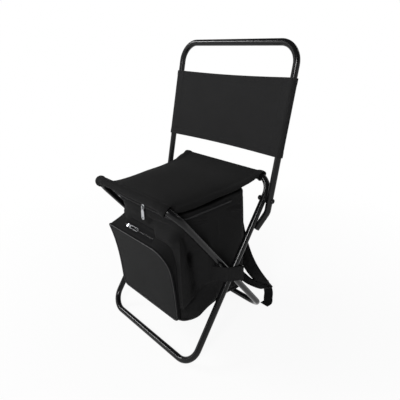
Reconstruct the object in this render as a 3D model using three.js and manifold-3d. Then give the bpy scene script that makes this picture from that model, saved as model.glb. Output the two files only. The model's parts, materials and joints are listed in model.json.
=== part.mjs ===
// Folding stool with a backrest, a soft cooler bag, a front pocket and shoulder straps.
// Millimetres, +Z up. The pocket faces -Y, the width runs along X.
// The origin is the middle of the stool's outline, on the floor.
import * as THREE from 'three';
import { mergeVertices } from 'three/addons/utils/BufferGeometryUtils.js';
import Module from 'manifold-3d';

const wasm = await Module();
wasm.setup();

// Driving dimensions: tube and fits
const tubeDiameter = 15;
const tubeSides = 12;
const bendSteps = 7;
const fitGap = 0.3;
const washerThickness = 1;

// Leg frames, at the tube centres. The front floor bar lies at y = 0.
const seatBarHeight = 394;
const outerSeatBarY = 263.4;
const innerFloorBarY = 284.8;
const innerSeatBarY = -23.9;
const innerHalfWidth = 142.5;
const outerBend = 42;
const innerBend = 52;

// Rivets at the crossing and bolts at the backrest
const rivetShankRadius = 3;
const rivetHeadRadius = 6.5;
const rivetHeadHeight = 2.4;
const boltShankRadius = 3;
const boltHeadRadius = 5.8;
const boltHeadHeight = 3.4;
const boltTail = 1.2;
const nutAcrossFlats = 10;
const nutHeight = 5;
const washerRadius = 7.5;
const roundSides = 20;

// Backrest
const backLean = THREE.MathUtils.degToRad(11.7);
const backPivotBelowBend = 9.3;
const backLength = 338.4;
const backBend = 46;
const hookDrop = 28;
const hookReach = 68;
const hookInset = 13;
const hookBend = 32;
const plugDepth = 12;
const plugWall = 1.5;
const plugHeadHeight = 3;

// Cloth on the bars
const clothThickness = 1.5;
const sleeveGap = 0.6;
const seatRearMargin = 28.6;
const seatFrontMargin = 21.5;
const seatSag = 12;
const seatEdgeSag = 14;
const seatFrontLeave = THREE.MathUtils.degToRad(50);
const seatRearLeave = THREE.MathUtils.degToRad(25);
const seatFrontDrop = 0.05;
const seatRearDrop = 0.09;
const seatSlope = 0.3;
const seatStations = 8;
const seatSteps = 16;
const wrapSteps = 15;
const wrapTurn = THREE.MathUtils.degToRad(262);
const backClothStart = 99;
const backClothHeight = 168;
const backClothSag = 7;
const backClothSteps = 14;

// Cooler bag
const bagBesideLegs = 21.5;
const bagFront = 8;
const bagRear = 226;
const bagBase = 86;
const bagCorner = 30;
const bagBelly = 3;
const bagBottomRound = 12;
const bagSetback = 10;
const bagBaseClimb = 24;
const lidBelowSeatBar = 23;
const lidHeight = 16;
const lidRound = 9;
const fabricThickness = 2;
const foamThickness = 4;
const linerThickness = 1.2;
const lidPadThickness = 6;
const cornerSteps = 5;

// Zips
const tapeHeight = 4;
const tapeThickness = 1.6;
const tapeEndSetback = 26;
const lidSliderX = 10;
const sliderWidth = 8;
const sliderLength = 12;
const sliderThickness = 1.8;
const teethHalfWidth = 1.5;
const archWidth = 2.4;
const archOpening = 2.4;
const archBar = 1.2;
const archHalfLength = 4;
const pullThickness = 1.4;
const pullEyeLength = 5;
const pullEyeWidth = 4;
const lidPullLength = 30;
const lidPullWidth = 10;
const pocketPullLength = 38;
const pocketPullWidth = 8;

// Front pocket
const pocketMargin = 12;
const pocketBottom = 96;
const pocketBelowZip = 71;
const pocketTopCorner = 50;
const pocketDepthBottom = 3;
const pocketDepthMiddle = 7;
const pocketDepthTop = 25;
const pocketRise = 24;
const pocketWall = 2;
const pocketEdge = 6;
const pocketMinSide = 1;
const pocketLevels = 12;
const pocketZipMargin = 53;
const pocketSlotHalfWidth = 4;
const pocketSliderX = -36;

// Bands that hold the bag to the leg crossings
const bandHeight = 36;
const bandThickness = 2;
const bandFrontY = 100;
const bandRearY = 200;
const bandOuterFrontY = 103;
const bandOuterRearY = 159;
const bandDroop = 18;
const bandLift = 1;

// Shoulder straps
const padWidthTop = 50;
const padWidthEnd = 36;
const padThickness = 9;
const padEdge = 2.5;
const padEndShare = 0.5;
const padCrownShare = 0.6;
const padBowAt = 0.58;
const padSteps = 20;
const padTopMargin = 55;
const padBelowZip = 21;
const padEndMargin = 7;
const padEndBehind = 97;
const padEndHeight = 53;
const padSplay = 14;
const padBowOut = 21;
const padBowBack = 65;
const padBowUp = 86;
const padTwist = THREE.MathUtils.degToRad(36);
const webbingWidth = 25;
const webbingThickness = 1.6;
const webbingSteps = 48;
const webbingMargin = 44;
const webbingAboveBase = 14;
const webbingSag = 14;
const webbingTilt = 0.4;
const tailDrop = 21;
const tailOut = 3;
const tailBack = 8;
const tailHeight = 3.5;
const tailBesideLegs = 4;
const tailFoldBehind = 33;
const tailEndBehind = 15;
const lockWidth = 35;
const lockLength = 32;
const lockThickness = 3;
const lockBar = 4;

// Finishes
const finishes = {
  tube: { color: 0x1b1b1d, roughness: 0.35, metalness: 0.6 },
  fastener: { color: 0x2a2a2c, roughness: 0.4, metalness: 0.8 },
  washer: { color: 0x111112, roughness: 0.6, metalness: 0 },
  plug: { color: 0x141415, roughness: 0.55, metalness: 0 },
  cloth: { color: 0x222325, roughness: 0.9, metalness: 0 },
  pocket: { color: 0x2b2c2f, roughness: 0.9, metalness: 0 },
  foam: { color: 0xe8e8e4, roughness: 0.8, metalness: 0 },
  foil: { color: 0xc9ccd0, roughness: 0.3, metalness: 0.7 },
  tape: { color: 0x161618, roughness: 0.8, metalness: 0 },
  zinc: { color: 0xb9bcc0, roughness: 0.28, metalness: 1 },
  buckle: { color: 0x121213, roughness: 0.5, metalness: 0 },
};

// Values worked out from the dimensions above
const tubeRadius = tubeDiameter / 2;
const tubeReach = tubeRadius / Math.cos(Math.PI / tubeSides);
const frameSpacing = 2 * tubeReach + washerThickness + 2 * fitGap;
const outerHalfWidth = innerHalfWidth + frameSpacing;
const backHalfWidth = outerHalfWidth + frameSpacing;
const sleeveInner = tubeReach + sleeveGap;
const sleeveOuter = sleeveInner + clothThickness;
const lidTop = seatBarHeight - lidBelowSeatBar;
const zipHeight = lidTop - lidHeight;
const bagHeight = zipHeight - bagBase;
const pocketTop = zipHeight - pocketBelowZip;
const seatRearHalfWidth = outerHalfWidth - seatRearMargin;
const seatFrontHalfWidth = innerHalfWidth - seatFrontMargin;
const bagHalfWidth = innerHalfWidth - bagBesideLegs;
const pocketHalfWidth = bagHalfWidth - pocketMargin;
const pocketZipHalfLength = pocketHalfWidth - pocketZipMargin;
const padTopX = bagHalfWidth - padTopMargin;
const padEnd = new THREE.Vector3(bagHalfWidth - padEndMargin, bagRear + padEndBehind, padEndHeight);
const webbingAnchorX = bagHalfWidth - webbingMargin;

const outerFoot = new THREE.Vector2(0, tubeRadius);
const outerHead = new THREE.Vector2(outerSeatBarY, seatBarHeight);
const innerFoot = new THREE.Vector2(innerFloorBarY, tubeRadius);
const innerHead = new THREE.Vector2(innerSeatBarY, seatBarHeight);
const outerDirection = outerHead.clone().sub(outerFoot).normalize();
const innerDirection = innerHead.clone().sub(innerFoot).normalize();
const crossing = meetingPoint(outerFoot, outerDirection, innerFoot, innerDirection);
const backPivotAboveCrossing = crossing.distanceTo(outerHead) - outerBend - backPivotBelowBend;
const backPivot = crossing.clone().addScaledVector(outerDirection, backPivotAboveCrossing);

// Point where two lines of the side view meet
function meetingPoint(a, aDirection, b, bDirection) {
  const t = b.clone().sub(a).cross(bDirection) / aDirection.cross(bDirection);
  return a.clone().addScaledVector(aDirection, t);
}

// Geometry helpers

function signedVolume(position, index) {
  const a = new THREE.Vector3();
  const b = new THREE.Vector3();
  const c = new THREE.Vector3();
  let total = 0;
  for (let i = 0; i < index.length; i += 3) {
    a.fromBufferAttribute(position, index[i]);
    b.fromBufferAttribute(position, index[i + 1]);
    c.fromBufferAttribute(position, index[i + 2]);
    total += a.dot(b.cross(c)) / 6;
  }
  return total;
}

// Closed body from points and triangles, with its faces turned outwards
function closedBody(points, triangles) {
  const geometry = new THREE.BufferGeometry().setFromPoints(points);
  const index = triangles.flat();
  if (signedVolume(geometry.getAttribute('position'), index) < 0) {
    index.reverse();
  }
  geometry.setIndex(index);
  return geometry;
}

function middleOf(points) {
  const middle = new THREE.Vector3();
  points.forEach((point) => middle.add(point));
  return middle.divideScalar(points.length);
}

// Skin over a row of rings with equal point counts. An open row has a fan on each end ring,
// or the triangles of a flat contour when the ring is not convex.
function skin(rings, isLoop = false, contour = null) {
  const count = rings[0].length;
  const points = rings.flat();
  const triangles = [];
  const spans = isLoop ? rings.length : rings.length - 1;
  for (let i = 0; i < spans; i += 1) {
    const here = i * count;
    const next = ((i + 1) % rings.length) * count;
    for (let j = 0; j < count; j += 1) {
      const k = (j + 1) % count;
      triangles.push([here + j, here + k, next + k], [here + j, next + k, next + j]);
    }
  }
  const last = (rings.length - 1) * count;
  if (contour) {
    const isReversed = THREE.ShapeUtils.isClockWise(contour);
    THREE.ShapeUtils.triangulateShape(contour, []).forEach((corners) => {
      const [a, b, c] = isReversed ? corners : corners.slice().reverse();
      triangles.push([a, b, c], [last + c, last + b, last + a]);
    });
  } else if (!isLoop) {
    const first = points.push(middleOf(rings[0])) - 1;
    const end = points.push(middleOf(rings[rings.length - 1])) - 1;
    for (let j = 0; j < count; j += 1) {
      const k = (j + 1) % count;
      triangles.push([first, k, j], [end, last + j, last + k]);
    }
  }
  return closedBody(points, triangles);
}

function mirrored(geometry) {
  const copy = geometry.clone().scale(-1, 1, 1);
  copy.setIndex(Array.from(copy.index.array).reverse());
  return copy;
}

// Joins and cuts
function solidOf(geometry) {
  const bare = geometry.clone();
  bare.deleteAttribute('normal');
  bare.deleteAttribute('uv');
  const merged = mergeVertices(bare, 1e-4);
  return new wasm.Manifold(new wasm.Mesh({
    numProp: 3,
    vertProperties: new Float32Array(merged.getAttribute('position').array),
    triVerts: new Uint32Array(merged.index.array),
  }));
}

function geometryOf(solid) {
  const { vertProperties, triVerts } = solid.getMesh();
  const geometry = new THREE.BufferGeometry();
  geometry.setAttribute('position', new THREE.BufferAttribute(vertProperties, 3));
  geometry.setIndex(new THREE.BufferAttribute(triVerts, 1));
  return geometry;
}

function cut(geometry, tools) {
  return geometryOf(tools.reduce((solid, tool) => solid.subtract(solidOf(tool)), solidOf(geometry)));
}

function join(first, second) {
  return geometryOf(solidOf(first).add(solidOf(second)));
}

function mesh(name, geometry, finish) {
  const shaded = geometry.index ? geometry.toNonIndexed() : geometry;
  shaded.computeVertexNormals();
  const part = new THREE.Mesh(shaded, new THREE.MeshStandardMaterial(finishes[finish]));
  part.name = name;
  return part;
}

// Round bar along X, from the middle outwards
function barAlongX(radius, length) {
  return new THREE.CylinderGeometry(radius, radius, length, roundSides).rotateZ(Math.PI / 2);
}

// Turned piece along X: the profile lists [x, radius] and starts and ends on the axis
function turnedAlongX(profile) {
  const points = profile.map(([x, radius]) => new THREE.Vector2(radius, x));
  return new THREE.LatheGeometry(points, roundSides).rotateZ(-Math.PI / 2);
}

// Route with a round bend at each inner corner: points with their directions
function bentRoute(corners, bends) {
  const stations = [];
  corners.forEach((corner, i) => {
    if (i === 0 || i === corners.length - 1) {
      stations.push(corner.clone());
      return;
    }
    const into = corner.clone().sub(corners[i - 1]).normalize();
    const out = corners[i + 1].clone().sub(corner).normalize();
    const turn = into.angleTo(out);
    const tangentLength = bends[i] * Math.tan(turn / 2);
    const start = corner.clone().addScaledVector(into, -tangentLength);
    const side = out.clone().addScaledVector(into, -out.dot(into)).normalize();
    for (let step = 0; step <= bendSteps; step += 1) {
      const angle = (turn * step) / bendSteps;
      const point = start.clone().addScaledVector(into, bends[i] * Math.sin(angle));
      stations.push(point.addScaledVector(side, bends[i] * (1 - Math.cos(angle))));
    }
  });
  return stations;
}

// Directions along a row of points
function directionsOf(points) {
  return points.map((point, i) => {
    const before = points[Math.max(i - 1, 0)];
    const after = points[Math.min(i + 1, points.length - 1)];
    const into = point.clone().sub(before).normalize();
    const out = after.clone().sub(point).normalize();
    return into.add(out).normalize();
  });
}

// Round tube along a row of points, with the section carried along without twist
function tubeAlong(points) {
  const directions = directionsOf(points);
  const normal = new THREE.Vector3(0, 0, 1);
  const rings = points.map((point, i) => {
    normal.addScaledVector(directions[i], -normal.dot(directions[i])).normalize();
    const across = directions[i].clone().cross(normal);
    return Array.from({ length: tubeSides }, (unused, k) => {
      const angle = ((k + 0.5) * 2 * Math.PI) / tubeSides;
      const edge = point.clone().addScaledVector(normal, tubeReach * Math.cos(angle));
      return edge.addScaledVector(across, tubeReach * Math.sin(angle));
    });
  });
  return skin(rings);
}

// Leg frames: closed loops of bent tube, riveted where they cross

// Loop in the plane of the legs, its origin at the crossing, one flat of the tube facing the floor
function legLoop(halfWidth, bend, foot, head) {
  const below = crossing.distanceTo(foot);
  const above = crossing.distanceTo(head);
  const slope = head.clone().sub(foot).angle();
  const floorFlat = Math.atan2(-Math.cos(slope), Math.sin(slope));
  const corners = [[1, above], [-1, above], [-1, -below], [1, -below]];
  const sectionAt = (bendCentre, turn) => {
    const outward = new THREE.Vector3(Math.cos(turn), Math.sin(turn), 0);
    const centre = bendCentre.clone().addScaledVector(outward, bend);
    return Array.from({ length: tubeSides }, (unused, k) => {
      const angle = floorFlat + ((k + 0.5) * 2 * Math.PI) / tubeSides;
      const edge = centre.clone().addScaledVector(outward, tubeReach * Math.cos(angle));
      return edge.setZ(tubeReach * Math.sin(angle));
    });
  };
  const rings = corners.flatMap(([side, end], corner) => {
    const bendCentre = new THREE.Vector3(side * (halfWidth - bend), end - Math.sign(end) * bend, 0);
    return Array.from({ length: bendSteps + 1 }, (unused, step) => {
      const turn = ((corner + step / bendSteps) * Math.PI) / 2;
      return sectionAt(bendCentre, turn);
    });
  });
  return skin(rings, true);
}

function legGroup(name, halfWidth, bend, foot, head, holes) {
  const drills = holes.map(([along, radius]) => {
    const length = 2 * (halfWidth + tubeDiameter);
    return barAlongX(radius + fitGap, length).translate(0, along, 0);
  });
  const group = new THREE.Group();
  group.position.set(0, crossing.x, crossing.y);
  group.rotation.x = head.clone().sub(foot).angle();
  group.add(mesh(name, cut(legLoop(halfWidth, bend, foot, head), drills), 'tube'));
  return group;
}

// Domed head, shank and a second domed head, seated on the outer sides of two tubes
function rivet() {
  const inner = innerHalfWidth - tubeReach - fitGap;
  const outer = outerHalfWidth + tubeReach + fitGap;
  const shoulder = rivetHeadHeight / 3;
  return turnedAlongX([
    [inner - rivetHeadHeight, 0],
    [inner - rivetHeadHeight, rivetHeadRadius / 2],
    [inner - shoulder, rivetHeadRadius],
    [inner, rivetHeadRadius],
    [inner, rivetShankRadius],
    [outer, rivetShankRadius],
    [outer, rivetHeadRadius],
    [outer + shoulder, rivetHeadRadius],
    [outer + rivetHeadHeight, rivetHeadRadius / 2],
    [outer + rivetHeadHeight, 0],
  ]);
}

// Flat ring between two tubes whose inner one lies at halfWidth
function washer(halfWidth, shankRadius) {
  const start = halfWidth + tubeReach + fitGap;
  const bore = shankRadius + fitGap;
  return turnedAlongX([
    [start, bore],
    [start, washerRadius],
    [start + washerThickness, washerRadius],
    [start + washerThickness, bore],
    [start, bore],
  ]);
}

// Button-head bolt through the backrest tube and the outer leg
function backBolt() {
  const seat = backHalfWidth + tubeReach + fitGap;
  const tail = outerHalfWidth - tubeReach - 2 * fitGap - nutHeight - boltTail;
  return turnedAlongX([
    [tail, 0],
    [tail, boltShankRadius],
    [seat, boltShankRadius],
    [seat, boltHeadRadius],
    [seat + boltHeadHeight * 0.4, boltHeadRadius],
    [seat + boltHeadHeight * 0.85, boltHeadRadius * 0.72],
    [seat + boltHeadHeight, boltHeadRadius * 0.4],
    [seat + boltHeadHeight, 0],
  ]);
}

function backNut() {
  const seat = outerHalfWidth - tubeReach - fitGap;
  const hexRadius = nutAcrossFlats / Math.sqrt(3);
  const hex = new THREE.CylinderGeometry(hexRadius, hexRadius, nutHeight, 6).rotateZ(Math.PI / 2);
  const bore = barAlongX(boltShankRadius + fitGap, 2 * nutHeight);
  return cut(hex, [bore]).translate(seat - nutHeight / 2, 0, 0);
}

function addBothSides(group, name, geometry, finish) {
  group.add(mesh(`${name}_right`, geometry, finish));
  group.add(mesh(`${name}_left`, mirrored(geometry), finish));
}

function crossingFasteners() {
  const group = new THREE.Group();
  group.position.set(0, crossing.x, crossing.y);
  addBothSides(group, 'leg_rivet', indexed(rivet()), 'fastener');
  addBothSides(group, 'leg_washer', indexed(washer(innerHalfWidth, rivetShankRadius)), 'washer');
  return group;
}

function backFasteners() {
  const group = new THREE.Group();
  group.position.set(0, backPivot.x, backPivot.y);
  addBothSides(group, 'backrest_bolt', indexed(backBolt()), 'fastener');
  addBothSides(group, 'backrest_nut', backNut(), 'fastener');
  addBothSides(group, 'backrest_washer', indexed(washer(outerHalfWidth, boltShankRadius)), 'washer');
  return group;
}

// Lathe and box geometries with their shared vertices merged
function indexed(geometry) {
  return geometryOf(solidOf(geometry));
}

// Backrest: a tube bent to a U, its lower ends kicked inwards to bear on the back of the outer legs

// Side-view offset from the backrest pivot, turned into the backrest's own frame (up, front)
function inBackFrame(offset) {
  const up = offset.x * Math.sin(backLean) + offset.y * Math.cos(backLean);
  const front = -offset.x * Math.cos(backLean) + offset.y * Math.sin(backLean);
  return [up, front];
}

function backRoute() {
  const behindLeg = new THREE.Vector2(outerDirection.y, -outerDirection.x);
  const hook = outerDirection.clone().multiplyScalar(-hookReach);
  hook.addScaledVector(behindLeg, 2 * tubeReach + fitGap);
  const [hookUp, hookFront] = inBackFrame(hook);
  const half = [
    new THREE.Vector3(backHalfWidth - hookInset, hookUp, hookFront),
    new THREE.Vector3(backHalfWidth, -hookDrop, 0),
    new THREE.Vector3(backHalfWidth, backLength, 0),
  ];
  const other = half.map((corner) => corner.clone().setX(-corner.x)).reverse();
  return [...half, ...other];
}

function backFrame(corners) {
  const tube = tubeAlong(bentRoute(corners, [0, hookBend, backBend, backBend, hookBend, 0]));
  const boltHole = barAlongX(boltShankRadius + fitGap, 2 * (backHalfWidth + tubeDiameter));
  const bores = [1, -1].map((side) => placedAtHook(plugBore(), corners, side));
  return cut(tube, [boltHole, ...bores]);
}

// Pieces at a tube end are drawn along +Y, with the end face at y = 0, and are turned to point out of it
function placedAtHook(geometry, corners, side) {
  const out = corners[0].clone().sub(corners[1]).normalize();
  const turn = new THREE.Quaternion().setFromUnitVectors(new THREE.Vector3(0, 1, 0), out);
  const placed = geometry.clone().applyQuaternion(turn).translate(...corners[0].toArray());
  return side > 0 ? placed : mirrored(placed);
}

function plugBore() {
  const radius = tubeRadius - plugWall;
  const bore = new THREE.CylinderGeometry(radius, radius, 2 * (plugDepth + fitGap), roundSides);
  return indexed(bore);
}

function endPlug() {
  const stem = tubeRadius - plugWall - fitGap;
  const profile = [
    [-plugDepth, 0],
    [-plugDepth, stem - 1],
    [1 - plugDepth, stem],
    [fitGap, stem],
    [fitGap, tubeRadius],
    [fitGap + plugHeadHeight / 2, tubeRadius],
    [fitGap + plugHeadHeight, tubeRadius * 0.6],
    [fitGap + plugHeadHeight, 0],
  ];
  const points = profile.map(([y, radius]) => new THREE.Vector2(radius, y));
  return indexed(new THREE.LatheGeometry(points, roundSides));
}

// Cloth that is sewn round two bars: sleeve, sagging panel, sleeve.
// Drawn in the plane across the bars, first bar at u = 0, second at u = span, outer face towards +v.
function sleeveCloth(span, sag, length) {
  const steps = backClothSteps;
  const drop = (t) => sleeveOuter - sag * 4 * t * (1 - t);
  const settings = { depth: length, bevelEnabled: false, curveSegments: roundSides };
  const panel = new THREE.Shape();
  panel.moveTo(0, drop(0));
  for (let i = 1; i <= steps; i += 1) {
    panel.lineTo((span * i) / steps, drop(i / steps));
  }
  for (let i = steps; i >= 0; i -= 1) {
    panel.lineTo((span * i) / steps, drop(i / steps) - clothThickness);
  }
  panel.closePath();
  const disc = (u, radius) => {
    const shape = new THREE.Shape().absarc(u, 0, radius, 0, 2 * Math.PI, false);
    return new THREE.ExtrudeGeometry(shape, settings);
  };
  const bars = [0, span];
  const wrapped = bars.reduce(
    (cloth, u) => join(cloth, disc(u, sleeveOuter)),
    new THREE.ExtrudeGeometry(panel, settings),
  );
  const bores = bars.map((u) => disc(u, sleeveInner));
  return cut(wrapped, bores).translate(0, 0, -length / 2);
}

// Section across a seat bar at a distance x from the middle, following the bar round its bend
function barSection(x, halfWidth, bend, head) {
  const direction = head.clone().sub(crossing);
  const slope = direction.angle();
  const past = Math.max(Math.abs(x) - (halfWidth - bend), 0);
  const turn = Math.asin(past / bend);
  const along = direction.length() - bend + bend * Math.cos(turn);
  const centre = crossing.clone().addScaledVector(direction.normalize(), along);
  const outward = new THREE.Vector3(
    Math.sign(x) * Math.sin(turn),
    Math.cos(turn) * Math.cos(slope),
    Math.cos(turn) * Math.sin(slope),
  );
  const sideways = new THREE.Vector3(0, -Math.sin(slope), Math.cos(slope));
  // point on a circle round the bar, the angle counted from the top towards the rear
  return (angle, radius) => {
    const point = new THREE.Vector3(x, centre.x, centre.y);
    point.addScaledVector(outward, radius * Math.sin(angle + slope));
    return point.addScaledVector(sideways, radius * Math.cos(angle + slope));
  };
}

// Share of the sag along the seat: steep behind the front bar, then a slow climb to the rear bar
function seatFall(t) {
  const front = 1 - Math.exp(-t / seatFrontDrop);
  const rear = 1 - Math.exp((t - 1) / seatRearDrop);
  return front * rear * (1 - seatSlope * t);
}

// Seat: one slack panel sewn round the front and rear seat bars, hanging lowest along its side edges
function seatCloth() {
  const rings = Array.from({ length: 2 * seatStations + 1 }, (unused, i) => {
    const share = Math.sin(((i - seatStations) / seatStations) * (Math.PI / 2));
    const front = barSection(share * seatFrontHalfWidth, innerHalfWidth, innerBend, innerHead);
    const rear = barSection(share * seatRearHalfWidth, outerHalfWidth, outerBend, outerHead);
    const sag = seatSag + seatEdgeSag * share ** 4;
    const panel = (radius) => Array.from({ length: seatSteps + 1 }, (unusedStep, k) => {
      const t = 0.5 - 0.5 * Math.cos((Math.PI * k) / seatSteps);
      const point = front(seatFrontLeave, radius).lerp(rear(-seatRearLeave, radius), t);
      return point.setZ(point.z - sag * seatFall(t));
    });
    const wrap = (section, leave, radius) => Array.from({ length: wrapSteps }, (unusedStep, k) => {
      const end = -Math.sign(leave) * wrapTurn;
      return section(leave + ((end - leave) * (k + 1)) / wrapSteps, radius);
    });
    return [
      ...panel(sleeveOuter),
      ...wrap(rear, -seatRearLeave, sleeveOuter),
      ...wrap(rear, -seatRearLeave, sleeveInner).reverse(),
      ...panel(sleeveInner).reverse(),
      ...wrap(front, seatFrontLeave, sleeveInner),
      ...wrap(front, seatFrontLeave, sleeveOuter).reverse(),
    ];
  });
  const contour = rings[seatStations].map((point) => new THREE.Vector2(point.y, point.z));
  return skin(rings, false, contour);
}

// Backrest panel: u is -X, v is the front of the backrest and the length lies along the tubes
function backCloth() {
  const cloth = sleeveCloth(2 * backHalfWidth, backClothSag, backClothHeight);
  cloth.applyMatrix4(new THREE.Matrix4().makeBasis(
    new THREE.Vector3(-1, 0, 0),
    new THREE.Vector3(0, 0, 1),
    new THREE.Vector3(0, 1, 0),
  ));
  return cloth.translate(backHalfWidth, backClothStart + backClothHeight / 2, 0);
}

function backrest() {
  const corners = backRoute();
  const group = new THREE.Group();
  group.position.set(0, backPivot.x, backPivot.y);
  group.rotation.x = Math.PI / 2 - backLean;
  group.add(mesh('backrest_frame', backFrame(corners), 'tube'));
  group.add(mesh('backrest_cloth', backCloth(), 'cloth'));
  group.add(mesh('backrest_plug_right', placedAtHook(endPlug(), corners, 1), 'plug'));
  group.add(mesh('backrest_plug_left', placedAtHook(endPlug(), corners, -1), 'plug'));
  return group;
}

// Cooler bag: fabric shell, foam and foil liner as cups, closed by a zipped lid

// The bag hangs a little to the rear, and its bottom climbs to the rear
function hung(x, y, z) {
  const low = Math.max(zipHeight - z, 0) / bagHeight;
  const back = (y - bagFront) / (bagRear - bagFront);
  return new THREE.Vector3(x, y + bagSetback * low, z + bagBaseClimb * low * back);
}

// Plan outline of the bag, moved out by swell, at one height
function bagRing(swell, z) {
  const radius = bagCorner + swell;
  const centres = [
    [bagHalfWidth - bagCorner, bagRear - bagCorner],
    [bagCorner - bagHalfWidth, bagRear - bagCorner],
    [bagCorner - bagHalfWidth, bagFront + bagCorner],
    [bagHalfWidth - bagCorner, bagFront + bagCorner],
  ];
  return centres.flatMap(([x, y], corner) => Array.from({ length: cornerSteps + 1 }, (unused, step) => {
    const turn = ((corner + step / cornerSteps) * Math.PI) / 2;
    return hung(x + radius * Math.cos(turn), y + radius * Math.sin(turn), z);
  }));
}

// Rings of one surface of the bag, a distance inside the outer fabric
function bagSurface(inset, top) {
  const base = bagBase + inset;
  const middle = (bagBase + zipHeight) / 2;
  return [
    bagRing(-bagBottomRound - inset, base),
    bagRing(-bagBottomRound / 3 - inset, base + bagBottomRound / 3),
    bagRing(-inset, base + bagBottomRound),
    bagRing(bagBelly - inset, middle),
    bagRing(-inset, top - bagBottomRound),
    bagRing(-inset, top),
  ];
}

function bagCup(outerInset, thickness, top) {
  const outside = bagSurface(outerInset, top);
  const inside = bagSurface(outerInset + thickness, top);
  return skin([...outside, ...inside.reverse()]);
}

function bagLid() {
  const rim = zipHeight + fitGap;
  const surface = (inset) => [
    bagRing(-inset, rim),
    bagRing(-inset, lidTop - lidRound - inset),
    bagRing(-lidRound / 3 - inset, lidTop - lidRound / 3 - inset),
    bagRing(-lidRound - inset, lidTop - inset),
  ];
  return skin([...surface(fabricThickness).reverse(), ...surface(0)]);
}

function lidPad() {
  const ceiling = lidTop - fabricThickness - fitGap;
  const inset = fabricThickness + fitGap + lidRound;
  return skin([bagRing(-inset, ceiling - lidPadThickness), bagRing(-inset, ceiling)]);
}

// Zip tape round the front and the two sides of the bag, lying on its outer face
function zipTape(low) {
  const inside = fitGap;
  const outside = fitGap + tapeThickness;
  const outer = bagRing(outside, low);
  const inner = bagRing(inside, low);
  const corner = cornerSteps + 1;
  const rows = [];
  const endY = bagRear - bagCorner - tapeEndSetback;
  const sideEnd = (swell, side) => new THREE.Vector3(side * (bagHalfWidth + swell), endY, low);
  rows.push([sideEnd(inside, -1), sideEnd(outside, -1)]);
  for (let i = 2 * corner; i < 4 * corner; i += 1) {
    rows.push([inner[i], outer[i]]);
  }
  rows.push([sideEnd(inside, 1), sideEnd(outside, 1)]);
  const lift = new THREE.Vector3(0, 0, tapeHeight);
  return skin(rows.map(([a, b]) => [a, b, b.clone().add(lift), a.clone().add(lift)]));
}

// Zip slider, drawn with the tape below z = 0, the zip along X or Y and the pull hanging towards -Y
function zipSlider() {
  const outline = new THREE.Shape();
  const half = sliderWidth / 2;
  const end = sliderLength / 2;
  outline.moveTo(-half * 0.6, -end);
  outline.lineTo(half * 0.6, -end);
  outline.quadraticCurveTo(half, 0, half, end * 0.6);
  outline.quadraticCurveTo(half, end, half * 0.5, end);
  outline.lineTo(-half * 0.5, end);
  outline.quadraticCurveTo(-half, end, -half, end * 0.6);
  outline.quadraticCurveTo(-half, 0, -half * 0.6, -end);
  const settings = { depth: sliderThickness, bevelEnabled: false, curveSegments: 4 };
  const plate = new THREE.ExtrudeGeometry(outline, settings);
  // the arch over the pull's top bar stands on the plate
  const arch = new THREE.Shape();
  const top = sliderThickness + archOpening + archBar;
  const foot = sliderThickness / 2;
  arch.moveTo(-archHalfLength, foot);
  arch.lineTo(-archHalfLength, top - archBar);
  arch.quadraticCurveTo(-archHalfLength, top, archBar - archHalfLength, top);
  arch.lineTo(archHalfLength - archBar, top);
  arch.quadraticCurveTo(archHalfLength, top, archHalfLength, top - archBar);
  arch.lineTo(archHalfLength, foot);
  arch.lineTo(archHalfLength - archBar, foot);
  arch.lineTo(archHalfLength - archBar, top - archBar);
  arch.lineTo(archBar - archHalfLength, top - archBar);
  arch.lineTo(archBar - archHalfLength, foot);
  const archSettings = { depth: archWidth, bevelEnabled: false, curveSegments: 3 };
  const archSolid = new THREE.ExtrudeGeometry(arch, archSettings);
  archSolid.applyMatrix4(new THREE.Matrix4().makeBasis(
    new THREE.Vector3(0, 1, 0),
    new THREE.Vector3(0, 0, 1),
    new THREE.Vector3(1, 0, 0),
  ));
  return join(plate, archSolid.translate(-archWidth / 2, 0, 0));
}

// Height of the pull's middle plane above the tape
const pullPlane = sliderThickness + archOpening / 2;

// Flat pull: its top bar passes under the arch, the eye takes the arch's lower foot.
// The bar's centre is the origin and the pull hangs towards -Y.
function zipPull(length, width, endHole) {
  const bar = pullThickness / 2;
  const neck = pullEyeWidth / 2 + pullThickness;
  const half = width / 2;
  const shoulder = -pullEyeLength - 2 * pullThickness;
  const outline = new THREE.Shape();
  outline.moveTo(-neck, bar);
  outline.lineTo(neck, bar);
  outline.lineTo(neck, -pullEyeLength);
  outline.quadraticCurveTo(neck, shoulder, half, shoulder - pullThickness);
  outline.lineTo(half, half - length);
  outline.absarc(0, half - length, half, 0, -Math.PI, true);
  outline.lineTo(-half, shoulder - pullThickness);
  outline.quadraticCurveTo(-neck, shoulder, -neck, -pullEyeLength);
  outline.closePath();
  const eye = new THREE.Path();
  eye.moveTo(-pullEyeWidth / 2, -bar);
  eye.lineTo(-pullEyeWidth / 2, -bar - pullEyeLength);
  eye.lineTo(pullEyeWidth / 2, -bar - pullEyeLength);
  eye.lineTo(pullEyeWidth / 2, -bar);
  eye.closePath();
  outline.holes.push(eye, endHole);
  const settings = { depth: pullThickness, bevelEnabled: false, curveSegments: 8 };
  return indexed(new THREE.ExtrudeGeometry(outline, settings).translate(0, 0, -bar));
}

// Round hole near the free end of the lid's pull
function lidPull() {
  const hole = new THREE.Path();
  hole.absarc(0, lidPullWidth / 2 - lidPullLength, lidPullWidth / 5, 0, 2 * Math.PI, false);
  return zipPull(lidPullLength, lidPullWidth, hole);
}

// Long window that leaves the pocket's pull a wire loop
function pocketPull() {
  const inside = pocketPullWidth / 2 - pullThickness;
  const low = pocketPullWidth / 2 - pocketPullLength;
  const high = -pullEyeLength - 4 * pullThickness;
  const window = new THREE.Path();
  window.moveTo(-inside, high);
  window.lineTo(-inside, low);
  window.absarc(0, low, inside, Math.PI, 2 * Math.PI, false);
  window.lineTo(inside, high);
  window.closePath();
  return zipPull(pocketPullLength, pocketPullWidth, window);
}

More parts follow.
